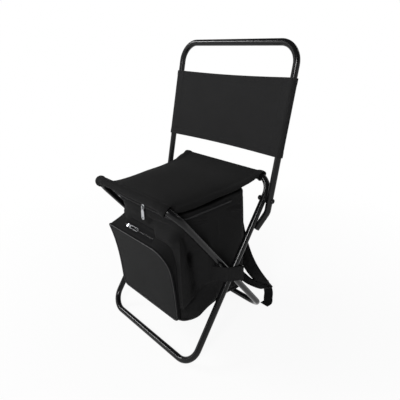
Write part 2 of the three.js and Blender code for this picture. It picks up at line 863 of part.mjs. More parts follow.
// Slider and pull on the lid's zip: the pull hangs down in front of the bag
function lidZipHardware() {
  const group = new THREE.Group();
  group.position.set(lidSliderX, bagFront - 2 * fitGap - tapeThickness, zipHeight);
  group.rotation.x = Math.PI / 2;
  group.add(mesh('lid_zip_slider', zipSlider(), 'zinc'));
  const pull = mesh('lid_zip_pull', lidPull(), 'zinc');
  pull.position.z = pullPlane;
  group.add(pull);
  return group;
}

// Front pocket: a wedge that stands out most at its top, with a sloping top gusset and a zipped slot

// Back of the pocket at a height: it lies on the bag's front
function pocketBack(z) {
  return bagFront + (bagSetback * (zipHeight - z)) / bagHeight - bagBelly - fitGap;
}

// How far the front panel stands out at a height: nearly flat below, flaring near the top
function pocketDepth(z) {
  const t = (z - pocketBottom) / (pocketTop - pocketBottom);
  const low = THREE.MathUtils.lerp(pocketDepthBottom, pocketDepthMiddle, t);
  return low + (pocketDepthTop - pocketDepthMiddle) * t ** 3;
}

// Half width at a height, with large round top corners
function pocketReach(z) {
  const above = Math.max(z - (pocketTop - pocketTopCorner), 0);
  const sideways = pocketTopCorner - Math.sqrt(Math.max(pocketTopCorner ** 2 - above ** 2, 0));
  return pocketHalfWidth - sideways * 0.9;
}

// Plan section of the pocket at a height: a flat back and two rounded front corners.
// The top of the gusset climbs towards the bag, more the higher the section.
function pocketRing(z, inset) {
  const reach = pocketReach(z) - inset;
  const back = pocketBack(z) - inset;
  const front = pocketBack(z) - pocketDepth(z) + inset;
  const edge = Math.min(pocketEdge, back - front - pocketMinSide);
  const climb = pocketRise * THREE.MathUtils.smoothstep(z, pocketTop - pocketTopCorner, pocketTop);
  const place = (x, y) => {
    const fraction = (y - front) / (back - front);
    return new THREE.Vector3(x, y, z + climb * fraction);
  };
  const ring = [place(reach, back)];
  for (let step = 0; step <= cornerSteps; step += 1) {
    const turn = (step / cornerSteps) * (Math.PI / 2);
    ring.push(place(reach - edge + edge * Math.cos(turn), front + edge - edge * Math.sin(turn)));
  }
  const left = ring.map((point) => point.clone().setX(-point.x)).reverse();
  return [...ring, ...left];
}

// Slot in the top gusset that the pocket's zip closes, as a ring with the same point count
function slotRing(offset) {
  const model = pocketRing(pocketTop, 0);
  const centre = slotCentre();
  const along = slotSlope();
  const normal = new THREE.Vector3(0, -along.z, along.y);
  return model.map((point, i) => {
    const isBack = i === 0 || i === model.length - 1;
    const side = isBack ? 1 : -1;
    const share = point.x / pocketReach(pocketTop);
    const spot = centre.clone().setX(pocketZipHalfLength * share);
    spot.addScaledVector(along, side * pocketSlotHalfWidth);
    return spot.addScaledVector(normal, offset);
  });
}

function slotSlope() {
  const depth = pocketDepth(pocketTop);
  return new THREE.Vector3(0, depth, pocketRise).normalize();
}

function slotCentre() {
  const depth = pocketDepth(pocketTop);
  return new THREE.Vector3(0, pocketBack(pocketTop) - depth / 2, pocketTop + pocketRise / 2);
}

function pocketShell() {
  const levels = Array.from({ length: pocketLevels + 1 }, (unused, i) => {
    const t = i / pocketLevels;
    return THREE.MathUtils.lerp(pocketBottom, pocketTop, 1 - (1 - t) ** 1.6);
  });
  const outside = levels.map((z) => pocketRing(z, 0));
  const inside = levels.map((z) => {
    const t = (z - pocketBottom) / (pocketTop - pocketBottom);
    return pocketRing(z, pocketWall).map((point) => point.setZ(point.z + pocketWall * (1 - 2 * t)));
  });
  return skin([...outside, slotRing(0), slotRing(-pocketWall), ...inside.reverse()]);
}

// Zip of the pocket: a tape with a raised row of teeth, lying in the slot
function pocketZip() {
  const half = pocketSlotHalfWidth - fitGap;
  const teeth = teethHalfWidth;
  const shape = new THREE.Shape();
  shape.moveTo(-half, -pocketWall);
  shape.lineTo(half, -pocketWall);
  shape.lineTo(half, -pocketWall / 2);
  shape.lineTo(teeth, -pocketWall / 2);
  shape.lineTo(teeth, 0);
  shape.lineTo(-teeth, 0);
  shape.lineTo(-teeth, -pocketWall / 2);
  shape.lineTo(-half, -pocketWall / 2);
  shape.closePath();
  const length = 2 * (pocketZipHalfLength - pocketSlotHalfWidth);
  const zip = new THREE.ExtrudeGeometry(shape, { depth: length, bevelEnabled: false });
  zip.applyMatrix4(new THREE.Matrix4().makeBasis(
    new THREE.Vector3(0, 1, 0),
    new THREE.Vector3(0, 0, 1),
    new THREE.Vector3(1, 0, 0),
  ));
  return indexed(zip.translate(-length / 2, 0, 0));
}

function pocketZipGroup() {
  const slope = slotSlope();
  const group = new THREE.Group();
  group.position.copy(slotCentre());
  group.rotation.x = Math.atan2(slope.z, slope.y);
  group.add(mesh('pocket_zip', pocketZip(), 'tape'));
  const runner = new THREE.Group();
  runner.position.set(pocketSliderX, 0, fitGap);
  runner.rotation.z = Math.PI / 2;
  runner.add(mesh('pocket_zip_slider', zipSlider(), 'zinc'));
  const pull = mesh('pocket_zip_pull', pocketPull(), 'zinc');
  pull.position.z = pullPlane;
  runner.add(pull);
  group.add(runner);
  return group;
}

// Band sewn to the bag's side that goes round the outside of a leg crossing, over the rivet's head
function crossingBand() {
  const wall = bagHalfWidth + bagBelly + fitGap;
  const over = outerHalfWidth + tubeReach + rivetHeadHeight + 2 * fitGap;
  const corners = [
    new THREE.Vector3(wall, bandFrontY, 0),
    new THREE.Vector3(over, bandOuterFrontY, 0),
    new THREE.Vector3(over, bandOuterRearY, 0),
    new THREE.Vector3(wall, bandRearY, 0),
  ];
  const bend = 2 * bandThickness;
  const route = bentRoute(corners, [0, bend, bend, 0]);
  const directions = directionsOf(route);
  const rings = route.map((point, i) => {
    const droop = bandDroop * ((over - point.x) / (over - wall));
    const low = crossing.y + bandLift - bandHeight / 2 - droop;
    const outward = new THREE.Vector3(directions[i].y, -directions[i].x, 0);
    const inner = point.clone().setZ(low);
    const outer = inner.clone().addScaledVector(outward, bandThickness);
    const lift = new THREE.Vector3(0, 0, bandHeight);
    return [inner, outer, outer.clone().add(lift), inner.clone().add(lift)];
  });
  rings[0].forEach((point) => point.setX(wall));
  rings[rings.length - 1].forEach((point) => point.setX(wall));
  return skin(rings);
}

// Shoulder straps: a padded strap bowing away from the bag's back, a buckle and a web to the bag's foot

// How far the bag's walls swell out at a height
function bagSwell(z) {
  const middle = (bagBase + zipHeight) / 2;
  const low = bagBase + bagBottomRound;
  const high = zipHeight - fitGap - bagBottomRound;
  const share = z < middle ? (z - low) / (middle - low) : (high - z) / (high - middle);
  return bagBelly * THREE.MathUtils.clamp(share, 0, 1);
}

// Rear face of the bag at a height, with the fitting gap
function rearFace(z) {
  const level = (z * bagHeight - bagBaseClimb * zipHeight) / (bagHeight - bagBaseClimb);
  const setback = (bagSetback * (zipHeight - level)) / bagHeight;
  return bagRear + bagSwell(level) + setback + fitGap;
}

function padCurve() {
  const top = zipHeight - padBelowZip;
  const bow = THREE.MathUtils.lerp(top, padEnd.z, padBowAt);
  return new THREE.CubicBezierCurve3(
    new THREE.Vector3(padTopX, rearFace(top) + (padThickness * padEndShare) / 2, top),
    new THREE.Vector3(padTopX + padSplay, rearFace(bow) + padBowOut, bow),
    new THREE.Vector3(padEnd.x - padSplay, padEnd.y - padBowBack, padEnd.z + padBowUp),
    padEnd,
  );
}

// Section of a strap at a point of a curve: width along a side direction made square to the curve
function strapFrame(curve, t, side) {
  const point = curve.getPoint(t);
  const direction = curve.getTangent(t);
  const across = side.clone().addScaledVector(direction, -direction.dot(side)).normalize();
  return { point, across, normal: across.clone().cross(direction).normalize() };
}

// Side direction of the pad: across the bag at its top, turned outwards and back at its end
function padSide(t) {
  const turn = padTwist * THREE.MathUtils.smoothstep(t, 0, 1);
  return new THREE.Vector3(Math.cos(turn), Math.sin(turn), 0);
}

// Padded strap with a crowned section and drawn-in edges
function strapPad() {
  const curve = padCurve();
  const under = [[-1, 0], [-padCrownShare, 0.85], [0, 1], [padCrownShare, 0.85], [1, 0]];
  const over = under.slice().reverse();
  const rings = Array.from({ length: padSteps + 1 }, (unused, i) => {
    const t = i / padSteps;
    const { point, across, normal } = strapFrame(curve, t, padSide(t));
    const half = THREE.MathUtils.lerp(padWidthTop, padWidthEnd, t) / 2;
    const fullness = Math.min(1, 4 * Math.min(t, 1 - t) + padEndShare);
    const place = (face) => ([u, crown]) => {
      const rise = crown > 0 ? (padThickness / 2) * crown * fullness : padEdge / 2;
      const spot = point.clone().addScaledVector(across, u * half);
      return spot.addScaledVector(normal, face * rise);
    };
    return [...under.map(place(-1)), ...over.map(place(1))];
  });
  return skin(rings);
}

// Buckle frame with two slots, drawn in XY with the strap entering at +Y
function ladderLock() {
  const outline = new THREE.Shape();
  const half = lockWidth / 2;
  const end = lockLength / 2;
  outline.moveTo(-half, -end);
  outline.lineTo(half, -end);
  outline.lineTo(half, end);
  outline.lineTo(-half, end);
  outline.closePath();
  const slotHalf = half - lockBar;
  const slot = (low, high) => {
    const path = new THREE.Path();
    path.moveTo(-slotHalf, low);
    path.lineTo(-slotHalf, high);
    path.lineTo(slotHalf, high);
    path.lineTo(slotHalf, low);
    path.closePath();
    return path;
  };
  outline.holes.push(slot(-end + lockBar, -lockBar / 2), slot(lockBar / 2, end - lockBar));
  const plate = new THREE.ExtrudeGeometry(outline, { depth: lockThickness, bevelEnabled: false });
  return indexed(plate.translate(0, 0, -lockThickness / 2));
}

// Frame of the buckle: it hangs on the pad's end, in line with the pad
function lockPlace() {
  const { across, normal } = strapFrame(padCurve(), 1, padSide(1));
  const along = padCurve().getTangent(1);
  const centre = padEnd.clone().addScaledVector(along, fitGap + lockLength / 2);
  const up = along.clone().negate();
  return { centre, across, up, normal: across.clone().cross(up), face: normal };
}

function placedLock() {
  const { centre, across, up, normal } = lockPlace();
  const place = new THREE.Matrix4().makeBasis(across, up, normal).setPosition(centre);
  return ladderLock().applyMatrix4(place);
}

// Web from the bag's foot through the buckle's lower slot, with a loose tail that reaches the floor
function strapWebbing() {
  const { centre, across, up, normal } = lockPlace();
  const slotMiddle = (lockLength / 2 - lockBar + lockBar / 2) / 2;
  const slot = centre.clone().addScaledVector(up, -slotMiddle);
  const anchorHeight = bagBase + bagBaseClimb + webbingAboveBase;
  const anchorY = rearFace(anchorHeight - webbingThickness);
  const anchor = new THREE.Vector3(webbingAnchorX, anchorY, anchorHeight);
  const pull = slot.clone().sub(anchor).normalize();
  // the web turns to pass the slot nearly square to the buckle, then the tail hangs on
  const square = normal.clone().multiplyScalar(Math.sign(normal.dot(pull)));
  const through = square.addScaledVector(up, -webbingTilt).normalize();
  const step = through.clone().multiplyScalar(2 * lockThickness);
  const hanging = slot.clone().add(new THREE.Vector3(tailOut, tailBack, -tailDrop));
  const floorX = innerHalfWidth - tailBesideLegs;
  const fold = new THREE.Vector3(floorX, innerFloorBarY + tailFoldBehind, tailHeight);
  const end = new THREE.Vector3(floorX, innerFloorBarY + tailEndBehind, tailHeight);
  const landing = hanging.clone().lerp(fold, 0.6).setZ(2 * tailHeight);
  const middle = anchor.clone().lerp(slot, 0.5).add(new THREE.Vector3(0, 0, -webbingSag));
  // points of the route, each with the side direction of the web there
  const route = [
    [anchor, new THREE.Vector3(0.5, 0.3, 0.8)],
    [middle, new THREE.Vector3(0.7, 0.4, 0.6)],
    [slot.clone().sub(step), across],
    [slot, across],
    [slot.clone().add(step), across],
    [hanging, new THREE.Vector3(0.8, 0.6, 0.1)],
    [landing, new THREE.Vector3(0.75, 0.65, 0)],
    [fold, new THREE.Vector3(1, 0.3, 0)],
    [end, new THREE.Vector3(1, 0, 0)],
  ];
  const curve = new THREE.CatmullRomCurve3(route.map(([point]) => point));
  const sideAt = (t) => {
    const place = t * (route.length - 1);
    const k = Math.min(Math.floor(place), route.length - 2);
    return route[k][1].clone().lerp(route[k + 1][1], place - k);
  };
  const rings = Array.from({ length: webbingSteps + 1 }, (unused, i) => {
    const frame = strapFrame(curve, i / webbingSteps, sideAt(i / webbingSteps));
    const half = webbingWidth / 2;
    const thick = webbingThickness / 2;
    return [[-1, -1], [1, -1], [1, 1], [-1, 1]].map(([u, v]) => {
      const spot = frame.point.clone().addScaledVector(frame.across, u * half);
      return spot.addScaledVector(frame.normal, v * thick);
    });
  });
  rings[0].forEach((point) => point.setY(anchor.y));
  return skin(rings);
}

function coolerBag() {
  const group = new THREE.Group();
  const rim = zipHeight - fitGap;
  const foamInset = fabricThickness + fitGap;
  const linerInset = foamInset + foamThickness + fitGap;
  group.add(mesh('bag_shell', bagCup(0, fabricThickness, rim), 'cloth'));
  group.add(mesh('bag_foam', bagCup(foamInset, foamThickness, rim), 'foam'));
  group.add(mesh('bag_liner', bagCup(linerInset, linerThickness, rim), 'foil'));
  group.add(mesh('bag_lid', bagLid(), 'cloth'));
  group.add(mesh('lid_pad', lidPad(), 'foil'));
  group.add(mesh('lid_zip_lower_tape', zipTape(zipHeight - fitGap - tapeHeight), 'tape'));
  group.add(mesh('lid_zip_upper_tape', zipTape(zipHeight + fitGap), 'tape'));
  group.add(lidZipHardware());
  group.add(mesh('front_pocket', pocketShell(), 'pocket'));
  group.add(pocketZipGroup());
  addBothSides(group, 'crossing_band', crossingBand(), 'cloth');
  addBothSides(group, 'strap_pad', strapPad(), 'cloth');
  addBothSides(group, 'strap_buckle', placedLock(), 'buckle');
  addBothSides(group, 'strap_webbing', strapWebbing(), 'tape');
  return group;
}

// Assembly
const assembly = new THREE.Group();
const outerHoles = [[0, rivetShankRadius], [backPivotAboveCrossing, boltShankRadius]];
const innerHoles = [[0, rivetShankRadius]];
assembly.add(legGroup('outer_leg_frame', outerHalfWidth, outerBend, outerFoot, outerHead, outerHoles));
assembly.add(legGroup('inner_leg_frame', innerHalfWidth, innerBend, innerFoot, innerHead, innerHoles));
assembly.add(crossingFasteners());
assembly.add(backFasteners());
assembly.add(backrest());
assembly.add(mesh('seat_cloth', seatCloth(), 'cloth'));
assembly.add(coolerBag());

// The stool stands on the floor, with the middle of its outline at the origin
const outline = new THREE.Box3().setFromObject(assembly, true);
const middle = outline.getCenter(new THREE.Vector3());
assembly.position.set(-middle.x, -middle.y, -outline.min.z);

const stool = new THREE.Group();
stool.add(assembly);

export default stool;
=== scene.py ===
"""Looks of a folding cooler stool: bent tubes, sewn cloth, cooler bag, pocket, zips and shoulder straps.

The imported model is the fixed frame. Lengths are metres in that frame, +Z up, the pocket faces -Y.
"""
import json
import math
from types import SimpleNamespace

import bmesh
import bpy
import numpy as np
from bpy.props import FloatProperty, FloatVectorProperty, IntProperty, PointerProperty
from mathutils import Matrix, Vector


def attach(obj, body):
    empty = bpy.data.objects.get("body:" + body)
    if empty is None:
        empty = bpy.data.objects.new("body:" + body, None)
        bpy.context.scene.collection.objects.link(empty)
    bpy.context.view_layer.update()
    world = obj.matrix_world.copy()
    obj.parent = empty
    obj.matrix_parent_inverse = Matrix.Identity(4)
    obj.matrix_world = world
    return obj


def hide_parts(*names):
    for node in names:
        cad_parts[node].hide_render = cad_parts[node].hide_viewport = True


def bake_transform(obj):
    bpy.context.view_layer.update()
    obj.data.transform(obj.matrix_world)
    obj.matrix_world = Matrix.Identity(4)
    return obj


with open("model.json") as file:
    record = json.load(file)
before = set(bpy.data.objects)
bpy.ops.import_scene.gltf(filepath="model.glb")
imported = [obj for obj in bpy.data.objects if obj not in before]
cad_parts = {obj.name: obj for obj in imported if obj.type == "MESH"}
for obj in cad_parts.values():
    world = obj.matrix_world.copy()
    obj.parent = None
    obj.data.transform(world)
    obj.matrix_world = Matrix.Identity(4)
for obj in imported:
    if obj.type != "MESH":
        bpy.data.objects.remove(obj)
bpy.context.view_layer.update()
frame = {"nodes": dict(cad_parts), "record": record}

bl_info = {
    "name": "Folding cooler stool",
    "version": (1, 0, 0),
    "blender": (4, 5, 0),
    "location": "View3D > Sidebar > Stool",
    "description": "Builds the tubes, cloth, cooler bag, zips and straps of a folding stool",
    "category": "Add Mesh",
}

IMAGE_SIDE = 400
SENSOR_WIDTH = 36.0
CAD_TUBE_SIDES = 12
UP = np.array([0.0, 0.0, 1.0])
ACROSS = np.array([1.0, 0.0, 0.0])
REARWARD = np.array([0.0, 1.0, 0.0])
SIDES = (("right", 1.0), ("left", -1.0))
# edges sharper than this many degrees aren't shaded smooth
CREASE = 40
MERGE_DISTANCE = 1e-6
# sizes of fasteners, tube ends and zips
BOLT_SHANK = 0.003
BOLT_BORE = 0.0033
NUT_HEIGHT = 0.005
RIVET_HEAD_HEIGHT = 0.0024
PLUG_DEPTH = 0.012
TUBE_WALL = 0.0015
TOOTH_PITCH = 0.0016

MOUNTS = {mount["name"]: mount for mount in frame["record"]["mounts"]}
# sizes along Y are counted from the front floor bar
FRONT_BAR = np.array(MOUNTS["front_floor_bar"]["pos_m"])


# Sizes and colours that a user would change


def length(name, description, default):
    return FloatProperty(name=name, description=description, default=default, unit="LENGTH", precision=4)


def share(name, description, default):
    return FloatProperty(name=name, description=description, default=default, subtype="FACTOR", min=0, max=1)


def angle(name, description, degrees):
    default = math.radians(degrees)
    return FloatProperty(name=name, description=description, default=default, unit="ROTATION")


def colour(name, description, default):
    return FloatVectorProperty(
        name=name, description=description, default=default, size=3, subtype="COLOR", min=0, max=1
    )


class StoolFrameSizes(bpy.types.PropertyGroup):
    """Sizes of the leg frames and the backrest tube"""

    tube: length("Tube diameter", "Outside diameter of all tubes", 0.015)
    fit_gap: length("Fitting gap", "Gap between pieces that touch", 0.0003)
    washer: length("Washer thickness", "Thickness of the washers between tubes", 0.001)
    seat_bar_height: length("Seat bar height", "Height of the seat bars' centres", 0.394)
    outer_seat_bar: length("Rear seat bar", "How far it lies behind the front floor bar", 0.2634)
    inner_floor_bar: length("Rear floor bar", "How far it lies behind the front one", 0.2848)
    inner_seat_bar: length("Front seat bar", "Place of the front seat bar along Y", -0.0239)
    inner_half: length("Inner half width", "Half width of the inner leg frame at the tube centres", 0.1425)
    outer_bend: length("Outer bend", "Bend radius of the outer leg frame", 0.042)
    inner_bend: length("Inner bend", "Bend radius of the inner leg frame", 0.052)
    back_lean: angle("Backrest lean", "Lean of the backrest behind the upright", 11.7)
    back_below_bend: length("Pivot below bend", "From the leg's bend down to the backrest's bolt", 0.0093)
    back_length: length("Backrest length", "From the bolt to the top bar", 0.3384)
    back_bend: length("Backrest bend", "Bend radius of the backrest's top corners", 0.046)
    hook_drop: length("Hook drop", "Straight tube below the bolt", 0.028)
    hook_reach: length("Hook reach", "How far down the leg the tube's end bears", 0.068)
    hook_inset: length("Hook inset", "How far the tube's end kicks inwards", 0.013)
    hook_bend: length("Hook bend", "Bend radius of the kick", 0.032)
    tube_sides: IntProperty(name="Tube sides", description="Sides of the tubes", default=40, min=8)
    bend_steps: IntProperty(name="Bend steps", description="Steps in each bend", default=18, min=4)


class StoolClothSizes(bpy.types.PropertyGroup):
    """Sizes of the seat and backrest cloth"""

    thickness: length("Cloth thickness", "Thickness of the canvas", 0.0014)
    hem: length("Hem thickness", "Extra thickness of a hem", 0.0009)
    hem_width: length("Hem width", "Width of the side hems", 0.011)
    hem_step: length("Hem step", "Width of the step at a hem's edge", 0.001)
    sleeve: length("Sleeve radius", "Middle of the cloth round a bar", 0.0088)
    sleeve_flare: length("Sleeve flare", "How far a seat sleeve stands open at its ends", 0.0032)
    sleeve_flare_run: length("Flare run", "Length of the sleeve's open end", 0.022)
    seat_front_margin: length("Front margin", "Bar left bare beside the seat, front", 0.0215)
    seat_rear_margin: length("Rear margin", "Bar left bare beside the seat, rear", 0.0286)
    seat_sag: length("Seat sag", "Sag of the seat's middle", 0.012)
    seat_edge_sag: length("Edge sag", "Extra sag of the seat's side edges", 0.012)
    seat_front_leave: angle("Front leave", "Where the panel leaves the front bar, behind its top", 50)
    seat_rear_leave: angle("Rear leave", "Where the panel reaches the rear bar, before its top", 25)
    back_start: length("Backrest cloth start", "From the bolt up to the cloth", 0.099)
    back_height: length("Backrest cloth height", "Height of the backrest cloth", 0.168)
    back_sag: length("Backrest sag", "Sag of the backrest cloth", 0.007)
    stitch_pitch: length("Stitch pitch", "Distance between stitches", 0.0042)
    stitch: length("Stitch length", "Length of a stitch", 0.0029)
    thread: length("Thread radius", "Radius of the sewing thread", 0.00034)


class StoolBagSizes(bpy.types.PropertyGroup):
    """Sizes of the cooler bag, its lid, pocket, bands and straps"""

    beside_legs: length("Beside the legs", "From the inner tube's centre to the bag's side", 0.0215)
    front: length("Bag front", "Front of the bag along Y", 0.008)
    rear: length("Bag rear", "Rear of the bag along Y", 0.226)
    base: length("Bag base", "Height of the bag's bottom", 0.086)
    corner: length("Bag corner", "Radius of the upright corners", 0.030)
    corner_pull: length("Corner pull", "How far the left front corner is drawn in above the pocket", 0.021)
    belly: length("Belly", "Swell of the walls", 0.003)
    bottom_round: length("Bottom rounding", "Radius of the bottom edge", 0.012)
    setback: length("Setback", "How far the bottom hangs to the rear", 0.010)
    climb: length("Base climb", "How far the bottom climbs to the rear", 0.024)
    rear_sag: length("Rear sag", "How far the rear foot sags", 0.014)
    square_edge: length("Square edge", "Round that the front corners give up", 0.024)
    lid_below_bar: length("Lid below bar", "From the seat bars down to the lid", 0.023)
    lid_height: length("Lid height", "From the zip to the lid's top", 0.016)
    lid_round: length("Lid rounding", "Radius of the lid's edge", 0.009)
    lid_fall: length("Lid fall", "How far the lid's sides lie below its middle in front", 0.0085)
    fabric: length("Shell thickness", "Thickness of the outer fabric", 0.002)
    foam: length("Foam thickness", "Thickness of the foam", 0.004)
    liner: length("Liner thickness", "Thickness of the foil liner", 0.0012)
    lid_pad: length("Lid pad thickness", "Thickness of the lid's pad", 0.006)
    tape: length("Zip tape height", "Height of each zip tape", 0.004)
    tape_thickness: length("Zip tape thickness", "Thickness of the zip tapes", 0.0016)
    tape_setback: length("Zip end", "From the rear corner to the zip's end", 0.026)
    pocket_margin: length("Pocket margin", "Bag front left beside the pocket", 0.012)
    pocket_bottom: length("Pocket bottom", "Height of the pocket's bottom", 0.096)
    pocket_below_zip: length("Pocket below zip", "From the lid's zip to the pocket's top", 0.071)
    pocket_corner: length("Pocket corner", "Radius of the pocket's right top corner", 0.050)
    pocket_corner_left: length("Pocket left corner", "Radius of the pocket's left top corner", 0.012)
    pocket_foot_corner: length("Pocket foot corner", "Radius of the pocket's lower corners", 0.0165)
    pocket_depth_low: length("Pocket depth low", "Depth at the bottom", 0.003)
    pocket_depth_mid: length("Pocket depth middle", "Depth half way up", 0.007)
    pocket_depth_top: length("Pocket depth top", "Depth at the top", 0.025)
    pocket_rise: length("Gusset rise", "How far the top gusset climbs to the bag", 0.024)
    pocket_zip_margin: length("Pocket zip margin", "From the pocket's side to its zip", 0.053)
    band_height: length("Band height", "Height of the crossing bands", 0.036)
    band_thickness: length("Band thickness", "Thickness of the crossing bands", 0.0018)
    band_droop: length("Band droop", "Drop of a band towards the bag", 0.018)
    band_tilt: share("Band tilt", "Fall of a band to the rear, per length", 0.38)
    pad_width_top: length("Pad width, top", "Width of a strap pad at its top", 0.050)
    pad_width_end: length("Pad width, end", "Width of a strap pad at its end", 0.036)
    pad_thickness: length("Pad thickness", "Thickness of a strap pad", 0.009)
    pad_twist: angle("Pad twist", "Turn of a strap pad from its top to its end", 36)
    webbing_width: length("Webbing width", "Width of the straps' webbing", 0.025)
    webbing_thickness: length("Webbing thickness", "Thickness of the straps' webbing", 0.0016)


class StoolFinishes(bpy.types.PropertyGroup):
    """Colours of the finishes"""

    powder: colour("Powder coat", "Black powder coat of the tubes", (0.0045, 0.0045, 0.005))
    steel: colour("Blackened steel", "Rivets, bolts and nuts", (0.03, 0.03, 0.032))
    plastic: colour("Plastic", "Washers, plugs and buckles", (0.0075, 0.0075, 0.008))
    canvas: colour("Canvas", "Backrest cloth", (0.0170, 0.0170, 0.0174))
    # seat cloth: the backrest's canvas made darker, painted shade on the seat's upward face
    seat: colour("Seat canvas", "Seat cloth", (0.0096, 0.0096, 0.0098))
    # bag canvas: the backrest's canvas made darker, painted shade under the seat
    bag: colour("Bag canvas", "Bag, lid, bands and strap pads", (0.0124, 0.0124, 0.0127))
    pocket: colour("Pocket canvas", "Front panel of the pocket", (0.0146, 0.0148, 0.0151))
    webbing: colour("Webbing", "Straps, zip tapes and bindings", (0.0075, 0.0075, 0.008))
    thread: colour("Thread", "Sewing thread", (0.0155, 0.0155, 0.0165))
    piping: colour("Piping", "Cord in the pocket's edge", (0.125, 0.125, 0.127))
    foam: colour("Foam", "Closed-cell foam", (0.80, 0.80, 0.76))
    foil: colour("Foil", "Silver liner", (0.58, 0.60, 0.63))
    zinc: colour("Zinc", "Zip sliders and pulls", (0.56, 0.57, 0.59))


# Places worked out from the sizes


def meeting_point(a, along_a, b, along_b):
    """Where two lines of the side view meet: a plus the step along it that reaches the other line."""
    gap = b - a
    cross = along_a[0] * along_b[1] - along_a[1] * along_b[0]
    step = (gap[0] * along_b[1] - gap[1] * along_b[0]) / cross
    return a + step * along_a


def layout(context):
    """Legs in the side view (y, z), half widths, the crossing, the backrest's bolt and the bag's levels."""
    f, c, b = context.scene.stool_frame, context.scene.stool_cloth, context.scene.stool_bag
    radius = f.tube / 2
    reach = radius / math.cos(math.pi / CAD_TUBE_SIDES)
    spacing = 2 * reach + f.washer + 2 * f.fit_gap
    outer_foot = np.array([0.0, radius])
    outer_head = np.array([f.outer_seat_bar, f.seat_bar_height])
    inner_foot = np.array([f.inner_floor_bar, radius])
    inner_head = np.array([f.inner_seat_bar, f.seat_bar_height])
    outer_along = unit(outer_head - outer_foot)
    inner_along = unit(inner_head - inner_foot)
    crossing = meeting_point(outer_foot, outer_along, inner_foot, inner_along)
    above = np.linalg.norm(outer_head - crossing) - f.outer_bend - f.back_below_bend
    lid_top = f.seat_bar_height - b.lid_below_bar
    zip_height = lid_top - b.lid_height
    half = f.inner_half - b.beside_legs
    return SimpleNamespace(
        f=f, c=c, b=b, radius=radius, reach=reach, gap=f.fit_gap,
        inner_half=f.inner_half, outer_half=f.inner_half + spacing, back_half=f.inner_half + 2 * spacing,
        outer_foot=outer_foot, outer_head=outer_head, inner_foot=inner_foot, inner_head=inner_head,
        outer_along=outer_along, crossing=crossing,
        pivot=crossing + above * outer_along,
        lid_top=lid_top, zip_height=zip_height, bag_half=half, bag_height=zip_height - b.base,
        pocket_half=half - b.pocket_margin, pocket_top=zip_height - b.pocket_below_zip,
    )


def in_space(side_point, x=0.0):
    """A point of the side view (y, z) at a distance x from the middle."""
    return np.array([x, side_point[0], side_point[1]])


# Surfaces worked out with numpy


def unit(vectors):
    return vectors / np.maximum(np.linalg.norm(vectors, axis=-1, keepdims=True), 1e-12)


def smooth_step(value, low, high):
    """0 below low, 1 above high, and 3t^2 - 2t^3 between them."""
    t = np.clip((value - low) / (high - low), 0, 1)
    return t * t * (3 - 2 * t)


def square_to(ahead, side):
    """The side direction less its part along ahead, as a unit vector."""
    return unit(side - ahead * (side * ahead).sum(-1, keepdims=True))


def walked(path):
    """Length walked along a path up to each of its points."""
    return np.concatenate([[0], np.cumsum(np.linalg.norm(np.diff(path, axis=0), axis=1))])


def at_height(spots, z):
    """Places of the plan (x, y) at heights z."""
    return np.concatenate([spots, np.broadcast_to(z, spots.shape[:-1])[..., None]], -1)


def surface(points, quads, quad_flat, tris=None, tri_flat=None):
    """Points, their four- and three-sided faces, and the flat place of each face corner in metres."""
    none = np.zeros((0, 3), int), np.zeros((0, 3, 2))
    return SimpleNamespace(
        points=points, quads=quads, quad_flat=quad_flat,
        tris=none[0] if tris is None else tris, tri_flat=none[1] if tri_flat is None else tri_flat,
    )


def facing_out(shape):
    """Turns all faces round where the closed surface holds a negative volume, a sum of a . (b x c)."""
    corners = np.concatenate([shape.quads[:, [0, 1, 2]], shape.quads[:, [0, 2, 3]], shape.tris])
    a, b, c = (shape.points[corners[:, k]] - shape.points[0] for k in range(3))
    if np.einsum("ij,ij->", a, np.cross(b, c)) < 0:
        shape.quads, shape.quad_flat = shape.quads[:, ::-1], shape.quad_flat[:, ::-1]
        shape.tris, shape.tri_flat = shape.tris[:, ::-1], shape.tri_flat[:, ::-1]
    return shape


def joined(shapes):
    """One surface from several, their point numbers counted on."""
    starts = np.cumsum([0] + [len(shape.points) for shape in shapes])
    return surface(
        np.concatenate([shape.points for shape in shapes]),
        np.concatenate([shape.quads + start for shape, start in zip(shapes, starts)]),
        np.concatenate([shape.quad_flat for shape in shapes]),
        np.concatenate([shape.tris + start for shape, start in zip(shapes, starts)]),
        np.concatenate([shape.tri_flat for shape in shapes]),
    )


def mirrored(shape):
    """The surface with x turned to -x, its faces kept outwards."""
    return surface(
        shape.points * np.array([-1, 1, 1]), shape.quads[:, ::-1], shape.quad_flat[:, ::-1],
        shape.tris[:, ::-1], shape.tri_flat[:, ::-1],
    )


def on_side(sign, shapes):
    """The surfaces of the right side, or mirrored for the left side."""
    return shapes if sign > 0 else [mirrored(shape) for shape in shapes]


